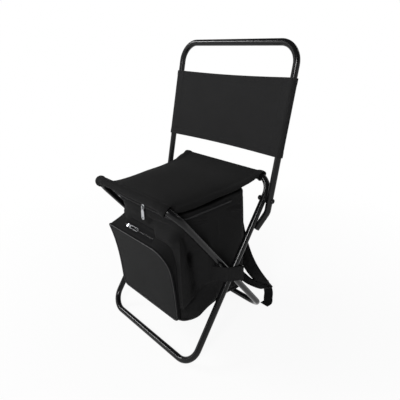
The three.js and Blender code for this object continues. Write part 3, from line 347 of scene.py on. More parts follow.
def grid(points, wrap_rows=False, cap_rows=False, flat=None):
    """Surface over a grid of points: face (i, j) joins the points i, i + 1 and j, j + 1.

    The last column joins the first. Wrapping joins the last row to the first, capping closes the end rows
    with fans. The flat place of a corner is flat's own, or the mean length walked along rows and columns.
    """
    rows, cols = points.shape[:2]
    i = np.arange(rows if wrap_rows else rows - 1)
    j = np.arange(cols)
    far_i, far_j = (i + 1) % rows, (j + 1) % cols
    corners = [(i, j), (far_i, j), (far_i, far_j), (i, far_j)]
    quads = np.stack([a[:, None] * cols + b[None, :] for a, b in corners], -1).reshape(-1, 4)
    row_step = np.linalg.norm(points[far_i] - points[i], axis=-1).mean(1)
    col_step = np.linalg.norm(points[:, far_j] - points[:, j], axis=-1).mean(0)
    u = np.concatenate([[0], np.cumsum(row_step)])
    v = np.concatenate([[0], np.cumsum(col_step)])
    if flat is None:
        places = [(i, j), (i + 1, j), (i + 1, j + 1), (i, j + 1)]
        spread = [np.stack(np.broadcast_arrays(u[a][:, None], v[b][None, :]), -1) for a, b in places]
    else:
        spread = [flat[a][:, b] for a, b in corners]
    quad_flat = np.stack(spread, 2).reshape(-1, 4, 2)
    if not cap_rows:
        shape = surface(points.reshape(-1, 3), quads, quad_flat)
        return facing_out(shape) if wrap_rows else shape
    last = (rows - 1) * cols
    first_mid, last_mid = rows * cols, rows * cols + 1
    tris = np.concatenate([
        np.stack([j, far_j, np.full_like(j, first_mid)], -1),
        np.stack([last + far_j, last + j, np.full_like(j, last_mid)], -1),
    ])
    mids = np.stack([points[0].mean(0), points[-1].mean(0)])
    if flat is None:
        near = np.stack([np.full(len(j), u[0]), v[j]], -1)
        nearer = np.stack([np.full(len(j), u[0]), v[j + 1]], -1)
        end = np.array([u[-1], 0.0])
        tri_flat = np.concatenate([
            np.stack([near, nearer, (near + nearer) / 2], 1),
            np.stack([nearer + end, near + end, (near + nearer) / 2 + end], 1),
        ])
    else:
        middle = np.broadcast_to(flat[0].mean(0), (len(j), 2))
        last_middle = np.broadcast_to(flat[-1].mean(0), (len(j), 2))
        tri_flat = np.concatenate([
            np.stack([flat[0][j], flat[0][far_j], middle], 1),
            np.stack([flat[-1][far_j], flat[-1][j], last_middle], 1),
        ])
    shape = surface(np.concatenate([points.reshape(-1, 3), mids]), quads, quad_flat, tris, tri_flat)
    return facing_out(shape)


def normals_of(points, wrap_rows=False):
    """Unit normal at each grid point: the cross product of central differences along rows and columns."""
    slope = np.roll(points, -1, 0) - np.roll(points, 1, 0) if wrap_rows else np.gradient(points, axis=0)
    return unit(np.cross(slope, np.gradient(points, axis=1)))


def sheet(points, thickness, wrap_rows=False):
    """Closed cloth: the grid moved half a thickness to both sides along its normals, with rims."""
    lift = normals_of(points, wrap_rows) * (np.broadcast_to(thickness, points.shape[:2])[..., None] / 2)
    both = np.concatenate([points + lift, (points - lift)[:, ::-1]], 1)
    shape = grid(both, wrap_rows=wrap_rows)
    if wrap_rows:
        return shape
    rows, cols = points.shape[:2]
    j = np.arange(cols - 1)
    far = 2 * cols - 1 - j
    last = (rows - 1) * 2 * cols
    rims = np.concatenate([
        np.stack([j, j + 1, far - 1, far], -1),
        np.stack([last + j + 1, last + j, last + far, last + far - 1], -1),
    ])
    rim_flat = np.zeros((len(rims), 4, 2))
    return facing_out(surface(
        shape.points, np.concatenate([shape.quads, rims]), np.concatenate([shape.quad_flat, rim_flat])
    ))


def path_directions(path, closed=False):
    """Unit direction at each point of a path: the sum of the unit steps before and after it."""
    if closed:
        steps = unit(np.roll(path, -1, 0) - path)
        return unit(steps + np.roll(steps, 1, 0))
    steps = unit(np.diff(path, axis=0))
    return unit(np.concatenate([steps[:1], steps[:-1] + steps[1:], steps[-1:]]))


def carried(path, profile, side, closed=False, scale=None):
    """Profile carried along a path: profile (a, b) lies at a along the side direction and b across it.

    The side direction is the given one made square to the path; scale stretches the profile at each point.
    """
    ahead = path_directions(path, closed)
    side = np.broadcast_to(side, path.shape)
    a_axis = square_to(ahead, side)
    b_axis = np.cross(ahead, a_axis)
    size = np.ones((len(path), 2)) if scale is None else scale
    spots = profile[None] * size[:, None]
    points = path[:, None] + a_axis[:, None] * spots[..., :1] + b_axis[:, None] * spots[..., 1:]
    return grid(points, wrap_rows=closed, cap_rows=not closed)


def circle(radius, sides):
    """Points at equal turns on a circle."""
    turn = np.arange(sides) * (2 * math.pi / sides)
    return radius * np.stack([np.cos(turn), np.sin(turn)], -1)


def soft_box(width, height, power, sides):
    """Superellipse: cosine and sine to the power 2 / power, signs kept, on half the width and height."""
    turn = np.arange(sides) * (2 * math.pi / sides)
    wave = np.stack([np.cos(turn), np.sin(turn)], -1)
    return np.sign(wave) * np.abs(wave) ** (2 / power) * np.array([width / 2, height / 2])


def rounded_corners(low, high, radii, steps):
    """Round corners of a rectangle, anticlockwise from its high corner, with their outward directions.

    Each is a quarter turn about a point that lies the corner's radius inside both sides.
    """
    turn = (np.arange(4)[:, None] + np.linspace(0, 1, steps + 1)[None]) * (math.pi / 2)
    out = np.stack([np.cos(turn), np.sin(turn)], -1)
    signs = np.array([[1, 1], [-1, 1], [-1, -1], [1, -1]])
    radii = np.broadcast_to(radii, 4)[:, None]
    middles = np.where(signs > 0, high, low) - signs * radii
    return middles[:, None] + radii[..., None] * out, out


def rounded_outline(low, high, radii, round_steps, straight_steps):
    """Rounded rectangle: its corners with even points on the straight runs, and the outward directions."""
    spots, out = rounded_corners(low, high, radii, round_steps)
    share_on = np.linspace(0, 1, straight_steps + 1)[1:-1, None]
    ends = np.roll(spots[:, 0], -1, 0)
    runs = spots[:, -1, None] + (ends - spots[:, -1])[:, None] * share_on[None]
    flat_out = np.broadcast_to(out[:, -1, None], runs.shape)
    return np.concatenate([spots, runs], 1).reshape(-1, 2), np.concatenate([out, flat_out], 1).reshape(-1, 2)


def bent_path(corners, bends, steps):
    """Straight runs joined by round bends: each inner corner gives way to an arc, tangent to both runs."""
    runs = []
    for k, corner in enumerate(corners):
        if k in (0, len(corners) - 1):
            runs.append(corner[None])
            continue
        into = unit(corner - corners[k - 1])
        out = unit(corners[k + 1] - corner)
        turn = math.acos(float(np.clip(into @ out, -1, 1)))
        start = corner - into * (bends[k] * math.tan(turn / 2))
        inward = unit(out - into * (out @ into))
        swing = np.linspace(0, turn, steps + 1)[:, None]
        runs.append(start + bends[k] * (into * np.sin(swing) + inward * (1 - np.cos(swing))))
    return np.concatenate(runs)


def bezier(points, t):
    """Cubic Bezier curve: its four points weighted by the cubic Bernstein polynomials of t."""
    t = np.asarray(t)[:, None]
    p = np.asarray(points)
    return (1 - t) ** 3 * p[0] + 3 * (1 - t) ** 2 * t * p[1] + 3 * (1 - t) * t**2 * p[2] + t**3 * p[3]


def through(points, steps):
    """Smooth curve through points: centripetal Catmull-Rom spans, the ends extended by reflection."""
    p = np.concatenate([[2 * points[0] - points[1]], points, [2 * points[-1] - points[-2]]])
    knots = np.concatenate([[0], np.cumsum(np.linalg.norm(np.diff(p, axis=0), axis=1) ** 0.5)])
    spans = []
    for k in range(len(points) - 1):
        t0, t1, t2, t3 = knots[k:k + 4]
        t = np.linspace(t1, t2, steps + 1)[:, None]
        a1 = (t1 - t) / (t1 - t0) * p[k] + (t - t0) / (t1 - t0) * p[k + 1]
        a2 = (t2 - t) / (t2 - t1) * p[k + 1] + (t - t1) / (t2 - t1) * p[k + 2]
        a3 = (t3 - t) / (t3 - t2) * p[k + 2] + (t - t2) / (t3 - t2) * p[k + 3]
        b1 = (t2 - t) / (t2 - t0) * a1 + (t - t0) / (t2 - t0) * a2
        b2 = (t3 - t) / (t3 - t1) * a2 + (t - t1) / (t3 - t1) * a3
        span = (t2 - t) / (t2 - t1) * b1 + (t - t1) / (t2 - t1) * b2
        is_last = k == len(points) - 2
        spans.append(span[: steps + is_last])
    return np.concatenate(spans)


def turned(profile, middle, axis, sides=40, flats=None, ring=False):
    """Turned piece: the profile lists (along the axis, radius); a ring's profile closes on itself.

    flats gives for each profile point the width across six flats, or 0 where the point stays round.
    """
    profile = np.asarray(profile, float)
    turn = np.arange(sides) * (2 * math.pi / sides)
    axis = unit(np.asarray(axis, float))
    first = unit(np.cross(axis, UP if abs(axis[2]) < 0.9 else ACROSS))
    second = np.cross(axis, first)
    radius = np.repeat(profile[:, 1:], sides, 1)
    if flats is not None:
        sixth = (turn % (math.pi / 3)) - math.pi / 6
        hexagon = np.asarray(flats, float)[:, None] / 2 / np.cos(sixth)[None]
        radius = np.where(hexagon > 0, np.minimum(radius, hexagon), radius)
    outwards = np.cos(turn)[:, None] * first + np.sin(turn)[:, None] * second
    points = middle + profile[:, :1, None] * axis + radius[..., None] * outwards
    return grid(points, wrap_rows=ring, cap_rows=not ring)


def repeated(base, places, ahead, outwards):
    """Copies of a small shape as one surface, its x laid along ahead and its z along outwards."""
    across = np.cross(outwards, ahead)
    turn = np.stack([ahead, across, outwards], -1)
    points = np.einsum("nij,pj->npi", turn, base.points) + places[:, None]
    starts = (np.arange(len(places)) * len(base.points))[:, None, None]
    return surface(
        points.reshape(-1, 3),
        (base.quads[None] + starts).reshape(-1, 4), np.tile(base.quad_flat, (len(places), 1, 1)),
        (base.tris[None] + starts).reshape(-1, 3), np.tile(base.tri_flat, (len(places), 1, 1)),
    )


def spaced(path, outwards, pitch):
    """Places at an even pitch along a path, with the direction and the outward direction there."""
    way = walked(path)
    count = max(int(way[-1] / pitch), 1)
    at = (np.arange(count) + 0.5) * (way[-1] / count)

    def pick(rows):
        return np.stack([np.interp(at, way, rows[:, k]) for k in range(3)], -1)

    ahead = unit(pick(path_directions(path)))
    return pick(path), ahead, square_to(ahead, pick(outwards))


def stitch_row(path, outwards, size):
    """Row of stitches on a path: each is a slim bead with thinner ends, half sunk in the cloth."""
    taper = np.array([0.45, 1.0, 1.0, 0.45])
    along = np.linspace(-0.5, 0.5, len(taper)) * size.stitch
    across = (size.thread * taper)[:, None, None] * circle(1.0, 5)
    points = np.concatenate([np.broadcast_to(along[:, None, None], (*across.shape[:2], 1)), across], -1)
    bead = grid(points, cap_rows=True)
    return repeated(bead, *spaced(path, outwards, size.stitch_pitch))


# Pieces of the object


def dressed(name, mesh, material, body, replaces, crease):
    """Object for a mesh: its material, smooth except at creases, what it replaces and its body."""
    mesh.materials.clear()
    mesh.materials.append(bpy.data.materials[material])
    mesh.polygons.foreach_set("use_smooth", np.ones(len(mesh.polygons), bool))
    mesh.set_sharp_from_angle(angle=math.radians(crease))
    made = bpy.data.objects.new(name, mesh)
    bpy.context.scene.collection.objects.link(made)
    if replaces:
        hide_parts(*replaces)
    if body:
        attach(made, body)
    return made


def piece(name, shapes, material, slot, body=None, replaces=(), crease=CREASE):
    """Piece from one or more surfaces, placed in the frame, with the flat places as its UV map."""
    shape = joined(shapes if isinstance(shapes, list) else [shapes])
    mesh = bpy.data.meshes.new(name)
    mesh.from_pydata((shape.points + FRONT_BAR).tolist(), [], shape.quads.tolist() + shape.tris.tolist())
    flat = mesh.uv_layers.new(name="flat")
    corners = np.concatenate([shape.quad_flat.reshape(-1, 2), shape.tri_flat.reshape(-1, 2)])
    flat.data.foreach_set("uv", corners.astype(np.float32).ravel())
    return dressed(name, mesh, material, body, replaces, crease)


def bevelled_copy(name, node, material, body, width):
    """Small cast piece: a merged copy of its solid with rounded edges."""
    mesh = frame["nodes"][node].data.copy()
    mesh.name = name
    work = bmesh.new()
    work.from_mesh(mesh)
    bmesh.ops.remove_doubles(work, verts=work.verts, dist=MERGE_DISTANCE)
    bmesh.ops.dissolve_limit(work, angle_limit=math.radians(2), verts=work.verts, edges=work.edges)
    work.to_mesh(mesh)
    work.free()
    made = dressed(name, mesh, material, body, (node,), CREASE)
    rounding = made.modifiers.new("edges", "BEVEL")
    rounding.width = width
    rounding.segments = 3
    rounding.limit_method = "ANGLE"
    rounding.angle_limit = math.radians(35)


# Tubes


def leg_loop(at, half, bend, foot, head):
    """Closed loop of bent tube: a rounded rectangle in the plane of the legs, a circle carried round it."""
    along = in_space(unit(head - foot))
    low, high = -np.linalg.norm(foot - at.crossing), np.linalg.norm(head - at.crossing)
    spots, _ = rounded_corners((-half, low), (half, high), bend, at.f.bend_steps)
    spots = spots.reshape(-1, 2)
    path = in_space(at.crossing) + spots[:, :1] * ACROSS + spots[:, 1:] * along
    square = np.cross(ACROSS, along)
    return carried(path, circle(at.radius, at.f.tube_sides), square, closed=True)


def back_axes(at):
    """Up and front directions of the backrest's own plane."""
    lean = at.f.back_lean
    return np.array([0, math.sin(lean), math.cos(lean)]), np.array([0, -math.cos(lean), math.sin(lean)])


def hook_end(at):
    """Tube end that bears on the back of the outer leg, at its right side, and the corner above it."""
    behind = np.array([at.outer_along[1], -at.outer_along[0]])
    offset = -at.f.hook_reach * at.outer_along + (2 * at.reach + at.gap) * behind
    end = in_space(at.pivot + offset, at.back_half - at.f.hook_inset)
    up, _ = back_axes(at)
    return end, in_space(at.pivot, at.back_half) - at.f.hook_drop * up


def back_path(at):
    """Route of the backrest tube from the right hook over the top bar to the left hook."""
    up, _ = back_axes(at)
    end, corner = hook_end(at)
    half = [end, corner, in_space(at.pivot, at.back_half) + at.f.back_length * up]
    other = [point * np.array([-1, 1, 1]) for point in reversed(half)]
    bends = [0, at.f.hook_bend, at.f.back_bend, at.f.back_bend, at.f.hook_bend, 0]
    return bent_path(half + other, bends, at.f.bend_steps)


def back_tube(at):
    """Bent tube with bored ends: a circle carried along the route, turned in at both ends to the bore."""
    path = back_path(at)
    ahead = path_directions(path)
    depth = PLUG_DEPTH + at.gap
    start, end = path[0], path[-1]
    route = np.concatenate([[start + depth * ahead[0], start], path, [end, end - depth * ahead[-1]]])
    lead = np.concatenate([[ahead[0]] * 2, ahead, [ahead[-1]] * 2])
    bore = at.radius - TUBE_WALL
    radius = np.concatenate([[bore] * 2, np.full(len(path), at.radius), [bore] * 2])
    _, front = back_axes(at)
    first = unit(np.cross(lead, front))
    second = np.cross(lead, first)
    spots = circle(1.0, at.f.tube_sides)[None] * radius[:, None, None]
    points = route[:, None] + first[:, None] * spots[..., :1] + second[:, None] * spots[..., 1:]
    return grid(points, cap_rows=True)


class STOOL_OT_frames(bpy.types.Operator):
    """Bent tubes of the two leg frames and the backrest"""

    bl_idname = "stool.frames"
    bl_label = "Leg frames and backrest tube"

    def execute(self, context):
        at = layout(context)
        outer = leg_loop(at, at.outer_half, at.f.outer_bend, at.outer_foot, at.outer_head)
        inner = leg_loop(at, at.inner_half, at.f.inner_bend, at.inner_foot, at.inner_head)
        rows = [
            ("outer_leg_tube", outer, "outer_frame", "outer_leg_frame"),
            ("inner_leg_tube", inner, "inner_frame", "inner_leg_frame"),
            ("backrest_tube", back_tube(at), "backrest", "backrest_frame"),
        ]
        for name, shape, body, node in rows:
            piece(name, shape, "powder coat", "black_tube", body, (node,))
        return {"FINISHED"}


# Fasteners


def dome(start, height, radius):
    """Profile of a domed head: height times a quarter turn's sine, radius times its cosine to the 0.8."""
    turn = np.linspace(0, math.pi / 2, 7)[:-1]
    return np.stack([start + height * np.sin(turn), radius * np.cos(turn) ** 0.8], -1)


def rivet_shape(at):
    """Rivet: a dome, a shank through both tubes and a second dome, turned about the X axis."""
    low = at.inner_half - at.reach - at.gap
    high = at.outer_half + at.reach + at.gap
    head, shank = 0.0065, 0.003
    near = dome(0, RIVET_HEAD_HEIGHT, head)[::-1] * np.array([-1, 1]) + np.array([low, 0])
    far = dome(high, RIVET_HEAD_HEIGHT, head)
    profile = np.concatenate([near, [[low, shank], [high, shank]], far])
    return turned(profile, in_space(at.crossing), ACROSS)


def bolt_shape(at):
    """Button-head bolt with a six-sided socket, turned about the X axis."""
    past_nut, chamfer = 0.0012, 0.0006
    head, height, brim = 0.0058, 0.0034, 0.0008
    socket, socket_radius, socket_edge, socket_depth = 0.0040, 0.0023, 0.0003, 0.0022
    socket_rise, socket_chamfer = 0.0001, 0.0004
    seat = at.back_half + at.reach + at.gap
    tail = at.outer_half - at.reach - 2 * at.gap - NUT_HEIGHT - past_nut
    cap = dome(seat + brim, height - brim, head)[:5]
    rim = cap[-1, 0] + socket_rise
    profile = np.concatenate([
        [[tail, BOLT_SHANK - chamfer], [tail + chamfer, BOLT_SHANK], [seat, BOLT_SHANK], [seat, head]], cap,
        [[rim, socket_radius + socket_edge], [rim - socket_chamfer, socket_radius]],
        [[rim - socket_depth, socket_radius]],
    ])
    flats = np.zeros(len(profile))
    flats[-2:] = socket
    return turned(profile, in_space(at.pivot), ACROSS, flats=flats)


def nut_shape(at):
    """Hexagon nut: a six-sided outline whose corners are turned off at both faces, with a bore."""
    across, face, chamfer = 0.010, 0.0047, 0.0006
    corner = across / 2 / math.cos(math.pi / 6)
    high = at.outer_half - at.reach - at.gap
    low = high - NUT_HEIGHT
    profile = [
        [low, BOLT_BORE], [low, face], [low + chamfer, corner],
        [high - chamfer, corner], [high, face], [high, BOLT_BORE],
    ]
    flats = [0, across, across, across, across, 0]
    return turned(profile, in_space(at.pivot), ACROSS, sides=48, flats=flats, ring=True)


def washer_shape(at, half, centre):
    """Flat ring with rounded edges between two tubes."""
    low = half + at.reach + at.gap
    high = low + at.f.washer
    rim, edge = 0.0075, 0.0002
    profile = [
        [low, BOLT_BORE], [low, rim - edge], [low + edge, rim],
        [high - edge, rim], [high, rim - edge], [high, BOLT_BORE],
    ]
    return turned(profile, in_space(centre), ACROSS, ring=True)


def plug_shape(at):
    """End plug: a stem in the tube's bore and a rounded head on its end, turned about the tube."""
    end, corner = hook_end(at)
    out = unit(end - corner)
    stem, head, height = at.radius - TUBE_WALL - at.gap, at.radius, 0.003
    chamfer, edge = 0.001, 0.0002
    top = dome(at.gap + height / 2, height / 2, head)
    profile = np.concatenate([
        [[-PLUG_DEPTH, stem - chamfer], [chamfer - PLUG_DEPTH, stem], [at.gap, stem]],
        [[at.gap, head - edge], [at.gap + edge, head]], top,
    ])
    return turned(profile, end, out)


class STOOL_OT_fasteners(bpy.types.Operator):
    """Rivets, bolts, nuts, washers and end plugs on both sides"""

    bl_idname = "stool.fasteners"
    bl_label = "Fasteners and plugs"

    def execute(self, context):
        at = layout(context)
        steel = ("blackened steel", "fasteners")
        plastic = ("moulded plastic", "black_plastic")
        rows = [
            ("leg_rivet", rivet_shape(at), steel, "outer_frame"),
            ("backrest_bolt", bolt_shape(at), steel, "outer_frame"),
            ("backrest_nut", nut_shape(at), steel, "outer_frame"),
            ("leg_washer", washer_shape(at, at.inner_half, at.crossing), plastic, "outer_frame"),
            ("backrest_washer", washer_shape(at, at.outer_half, at.pivot), plastic, "outer_frame"),
            ("backrest_plug", plug_shape(at), plastic, "backrest"),
        ]
        for name, shape, finish, body in rows:
            for side, sign in SIDES:
                node = f"{name}_{side}"
                piece(f"{node}_turned", on_side(sign, [shape]), *finish, body, (node,), crease=30)
        return {"FINISHED"}


# Seat and backrest cloth

# how far the cloths go round a bar from its top
WRAP_END = math.radians(200)


def hemmed(points, thickness, facing, column):
    """Cloth of uneven thickness, its outer skin and the outward directions there.

    Outwards is the side that faces the given direction in the middle row at the column.
    """
    outwards = normals_of(points)
    outwards *= np.sign(outwards[len(points) // 2, column] @ facing)
    return sheet(points, thickness), points + outwards * (thickness[..., None] / 2), outwards


def seams(skin, outwards, columns, rows, margin, panel, size):
    """Stitches along columns of the skin, a margin short of their ends, and along rows within the panel."""
    lines = [(slice(margin, -margin), column) for column in columns] + [(row, panel) for row in rows]
    return [stitch_row(skin[line], outwards[line], size) for line in lines]


def bar_section(at, x, half, bend, head):
    """Circle round a seat bar at each distance x from the middle, following the bar round its bends.

    Returns a function of the angle, counted from the top towards the rear, and the radius.
    """
    run = head - at.crossing
    reach = np.linalg.norm(run)
    along = run / reach
    slope = math.atan2(along[1], along[0])
    turn = np.arcsin(np.maximum(np.abs(x) - (half - bend), 0) / bend)
    level = reach - bend + bend * np.cos(turn)
    middle = np.stack([x, at.crossing[0] + along[0] * level, at.crossing[1] + along[1] * level], -1)
    outward = np.stack([
        np.sign(x) * np.sin(turn), np.cos(turn) * math.cos(slope), np.cos(turn) * math.sin(slope),
    ], -1)
    sideways = np.array([0, -math.sin(slope), math.cos(slope)])

    def spot(turn_about, radius):
        turn_about = np.atleast_1d(turn_about)[None, :, None] + slope
        lean = outward[:, None] * np.sin(turn_about) + sideways * np.cos(turn_about)
        return middle[:, None] + radius * lean

    return spot


def seat_fall(t):
    """Share of the sag along the seat: steep behind the front bar, then a slow climb to the rear bar."""
    front_run, rear_run, climb = 0.05, 0.09, 0.3
    return (1 - np.exp(-t / front_run)) * (1 - np.exp((t - 1) / rear_run)) * (1 - climb * t)


def seat_grid(at):
    """Middle of the seat cloth: tail under the panel, wrap round the front bar, panel, rear wrap, tail.

    Rows run across the seat, columns from front to rear. Returns the points, the panel's first and last
    column and the rows' shares of the half width.
    """
    c = at.c
    spread = np.sin(np.linspace(-math.pi / 2, math.pi / 2, 73))
    front_x = spread * (at.inner_half - c.seat_front_margin)
    rear_x = spread * (at.outer_half - c.seat_rear_margin)
    front = bar_section(at, front_x, at.inner_half, at.f.inner_bend, at.inner_head)
    rear = bar_section(at, rear_x, at.outer_half, at.f.outer_bend, at.outer_head)
    t = 0.5 - 0.5 * np.cos(np.linspace(0, math.pi, 69))
    sag = c.seat_sag + c.seat_edge_sag * np.abs(spread) ** 4
    # the sleeves stand open at their ends
    flare = smooth_step(np.abs(spread), 1 - c.sleeve_flare_run / at.inner_half, 1)[:, None, None]
    sleeve = c.sleeve + c.sleeve_flare * flare
    ends = front(c.seat_front_leave, sleeve), rear(-c.seat_rear_leave, sleeve)
    panel = ends[0] + (ends[1] - ends[0]) * t[None, :, None]
    panel[..., 2] -= sag[:, None] * seat_fall(t)[None]
    # the edges ripple a little between the sleeves
    ripple_height, ripple_rate = 0.0007, 17.0
    ripple = np.sin(t * ripple_rate)[None] * np.sin(math.pi * t)[None] * np.abs(spread[:, None]) ** 8
    panel[..., 2] += ripple_height * ripple
    front_wrap = front(np.linspace(-WRAP_END, c.seat_front_leave, 30), sleeve)[:, :-1]
    rear_wrap = rear(np.linspace(-c.seat_rear_leave, WRAP_END, 28), sleeve)[:, 1:]

    def tail(start, ahead, columns):
        """Quadratic Bezier curve from a wrap's end to its seam under the panel, then along the seam."""
        below_panel, lead = 0.0019, 0.005
        goal = panel[:, columns] - below_panel * UP
        control = start + unit(ahead) * lead
        s = np.linspace(0, 1, 8)[None, :-1, None]
        curve = (1 - s) ** 2 * start[:, None] + 2 * s * (1 - s) * control[:, None] + s**2 * goal[:, None, 0]
        return np.concatenate([curve, goal], 1)

    # columns of the panel that the tails are sewn to
    front_seam, rear_seam = np.arange(7, 12), np.arange(61, 56, -1)
    front_tail = tail(front_wrap[:, 0], front_wrap[:, 0] - front_wrap[:, 1], front_seam)[:, :0:-1]
    rear_tail = tail(rear_wrap[:, -1], rear_wrap[:, -1] - rear_wrap[:, -2], rear_seam)[:, 1:]
    points = np.concatenate([front_tail, front_wrap, panel, rear_wrap, rear_tail], 1)
    first = front_tail.shape[1] + front_wrap.shape[1]
    return points, first, first + len(t) - 1, spread


class STOOL_OT_seat(bpy.types.Operator):
    """Seat cloth sewn round the two seat bars, with hems and stitching"""

    bl_idname = "stool.seat"
    bl_label = "Seat cloth"

    def execute(self, context):
        at = layout(context)
        c = at.c
        points, first, last, spread = seat_grid(at)
        half = at.inner_half - c.seat_front_margin
        hem = smooth_step(np.abs(spread) * half, half - c.hem_width - c.hem_step, half - c.hem_width)
        thickness = c.thickness + c.hem * hem[:, None]
        cloth, skin, outwards = hemmed(points, thickness, UP, (first + last) // 2)
        # the seat's canvas is darkened: painted shade
        made = piece("seat_cloth_sewn", cloth, "shaded seat canvas", "black_canvas", None, ("seat_cloth",))
        # two seams beside each bar and one on each side hem
        columns = (first + 9, first + 11, last - 9, last - 11)
        side_row = int(np.argmax(spread > -1 + 0.8 * c.hem_width / half))
        side_rows = (side_row, len(spread) - 1 - side_row)
        rows = seams(skin, outwards, columns, side_rows, 2, slice(first, last), c)
        thread = piece("seat_stitching", rows, "sewing thread", "black_canvas")
        # the objects' places are baked into their meshes
        for each in (made, thread):
            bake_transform(each)
        return {"FINISHED"}


def backrest_grid(at):
    """Middle of the backrest cloth: tail behind, wrap round the right tube, sagging panel, wrap, tail.

    Rows run up the backrest, columns from right to left. Returns the points, the panel's first and last
    column and the rows' shares of the height.
    """
    c = at.c
    up, front = back_axes(at)
    half = at.back_half

    def across(t):
        """The panel in plan: a parabola of the sag between the two tubes."""
        return np.stack([half * (1 - 2 * t), c.sleeve - c.back_sag * 4 * t * (1 - t)], -1)

    wrap = np.linspace(WRAP_END, 0, 26)
    right = np.stack([half + c.sleeve * np.sin(wrap), c.sleeve * np.cos(wrap)], -1)
    panel = across(np.linspace(0, 1, 75)[1:-1])
    below_panel, bridge_bow = 0.0018, 0.002
    behind = across(np.linspace(0.085, 0.04, 6)) - np.array([0, below_panel])
    s = np.linspace(0, 1, 7)[1:-1, None]
    bridge = behind[-1] + (right[0] - behind[-1]) * s - np.array([0, bridge_bow]) * np.sin(math.pi * s)
    half_plan = np.concatenate([behind, bridge, right])
    plan = np.concatenate([half_plan, panel, half_plan[::-1] * np.array([-1, 1])])
    first = len(half_plan)
    level = np.linspace(0, 1, 61)
    height = c.back_start + c.back_height * level
    points = in_space(at.pivot) + plan[None, :, :1] * ACROSS + plan[None, :, 1:] * front
    points = points + height[:, None, None] * up
    # a drawn wrinkle by the lower corners, fading inwards, and slack top and bottom edges
    wrinkle_depth, slack_depth, edge_slack = 0.0026, 0.0012, 0.0022
    wrinkle_level, wrinkle_slant, wrinkle_width = 0.07, 0.5, 0.024
    wrinkle_end, wrinkle_start, panel_edge, mean_slack = 0.06, 0.01, 0.02, 0.75
    x = np.abs(plan[None, :, 0])
    v = level[:, None]
    on_panel = smooth_step(x, half, half - panel_edge)
    wrinkle = np.exp(-(((v - wrinkle_level - wrinkle_slant * (half - x)) / wrinkle_width) ** 2))
    wrinkle = wrinkle * smooth_step(x, half - wrinkle_end, half - wrinkle_start)
    slack = np.sin(math.pi * v) - mean_slack
    push = (wrinkle_depth * wrinkle + slack_depth * slack) * on_panel
    edge = edge_slack * np.sin(math.pi * np.clip((half - x) / half, 0, 1) / 2) * (2 * v - 1)
    points = points - push[..., None] * front - edge[..., None] * up
    return points, first, first + len(panel), level


class STOOL_OT_backrest(bpy.types.Operator):
    """Backrest cloth sewn round the two upright tubes, with hems and stitching"""

    bl_idname = "stool.backrest"
    bl_label = "Backrest cloth"

    def execute(self, context):
        at = layout(context)
        c = at.c
        points, first, last, level = backrest_grid(at)
        edge = np.minimum(level, 1 - level) * c.back_height
        hem = 1 - smooth_step(edge, c.hem_width, c.hem_width + c.hem_step)
        _, front = back_axes(at)
        cloth, skin, outwards = hemmed(points, c.thickness + c.hem * hem[:, None], front, (first + last) // 2)
        node = "backrest_cloth"
        made = piece("backrest_cloth_sewn", cloth, "black canvas", "black_canvas", "backrest", (node,))
        hem_row = int(np.argmax(edge > 0.75 * c.hem_width))
        hem_rows = (hem_row, len(level) - 1 - hem_row)
        rows = seams(skin, outwards, (first + 3, last - 4), hem_rows, 1, slice(first, last), c)
        thread = piece("backrest_stitching", rows, "sewing thread", "black_canvas", "backrest")
        return {"FINISHED"}


# Cooler bag

# start and end of each fold on the wall, its half width and its height, negative for a valley
SIDE_FOLDS = (
    ((0.020, 0.322), (0.058, 0.232), 0.018, -0.0150),
    ((0.054, 0.262), (0.060, 0.152), 0.022, -0.0185),
    ((0.080, 0.298), (0.104, 0.165), 0.016, 0.0070),
    ((0.016, 0.124), (0.098, 0.152), 0.012, -0.0125),
    ((0.034, 0.097), (0.112, 0.122), 0.014, 0.0095),
    ((0.030, 0.350), (0.090, 0.338), 0.0022, 0.0026),
    ((0.034, 0.343), (0.092, 0.331), 0.0022, 0.0024),
    ((0.040, 0.336), (0.088, 0.325), 0.0022, 0.0022),
    ((0.150, 0.339), (0.200, 0.332), 0.0036, -0.0034),
    ((0.158, 0.331), (0.204, 0.324), 0.0044, 0.0026),
    ((0.119, 0.336), (0.121, 0.278), 0.0030, 0.0016),
    ((0.130, 0.108), (0.205, 0.118), 0.010, 0.0030),
)
FRONT_FOLDS = (
    ((0.048, 0.303), (0.112, 0.312), 0.013, 0.0100),
    ((0.026, 0.326), (0.108, 0.336), 0.006, -0.0045),
    ((0.020, 0.338), (0.100, 0.345), 0.0028, 0.0022),
    ((0.034, 0.330), (0.020, 0.318), 0.005, -0.0050),
    ((-0.112, 0.312), (-0.050, 0.300), 0.012, 0.0050),
    ((-0.040, 0.330), (0.020, 0.334), 0.006, 0.0016),
)


def bag_outline(at, straight=26, round_steps=10):
    """Plan of the bag: a rounded rectangle from the rear right corner round, with its outward directions."""
    low, high = (-at.bag_half, at.b.front), (at.bag_half, at.b.rear)
    return rounded_outline(low, high, at.b.corner, round_steps, straight)


def lofted(at, plan, out, share, offset):
    """Rows of the plan, moved out by each row's offset, then drawn to the bag's middle by its share."""
    middle = np.array([0, (at.b.front + at.b.rear) / 2])
    ring = plan[None] + out[None] * offset[..., None]
    return middle + (ring - middle) * share[:, None, None]


def flat_on_bag(plan, rows, level):
    """Flat places of the bag's skin: round the plan and up its walls, the plan itself where it is level."""
    wall = np.stack([np.broadcast_to(walked(plan), rows.shape[:2]), rows[..., 2]], -1)
    return np.where(level[..., None], rows[..., :2], wall)


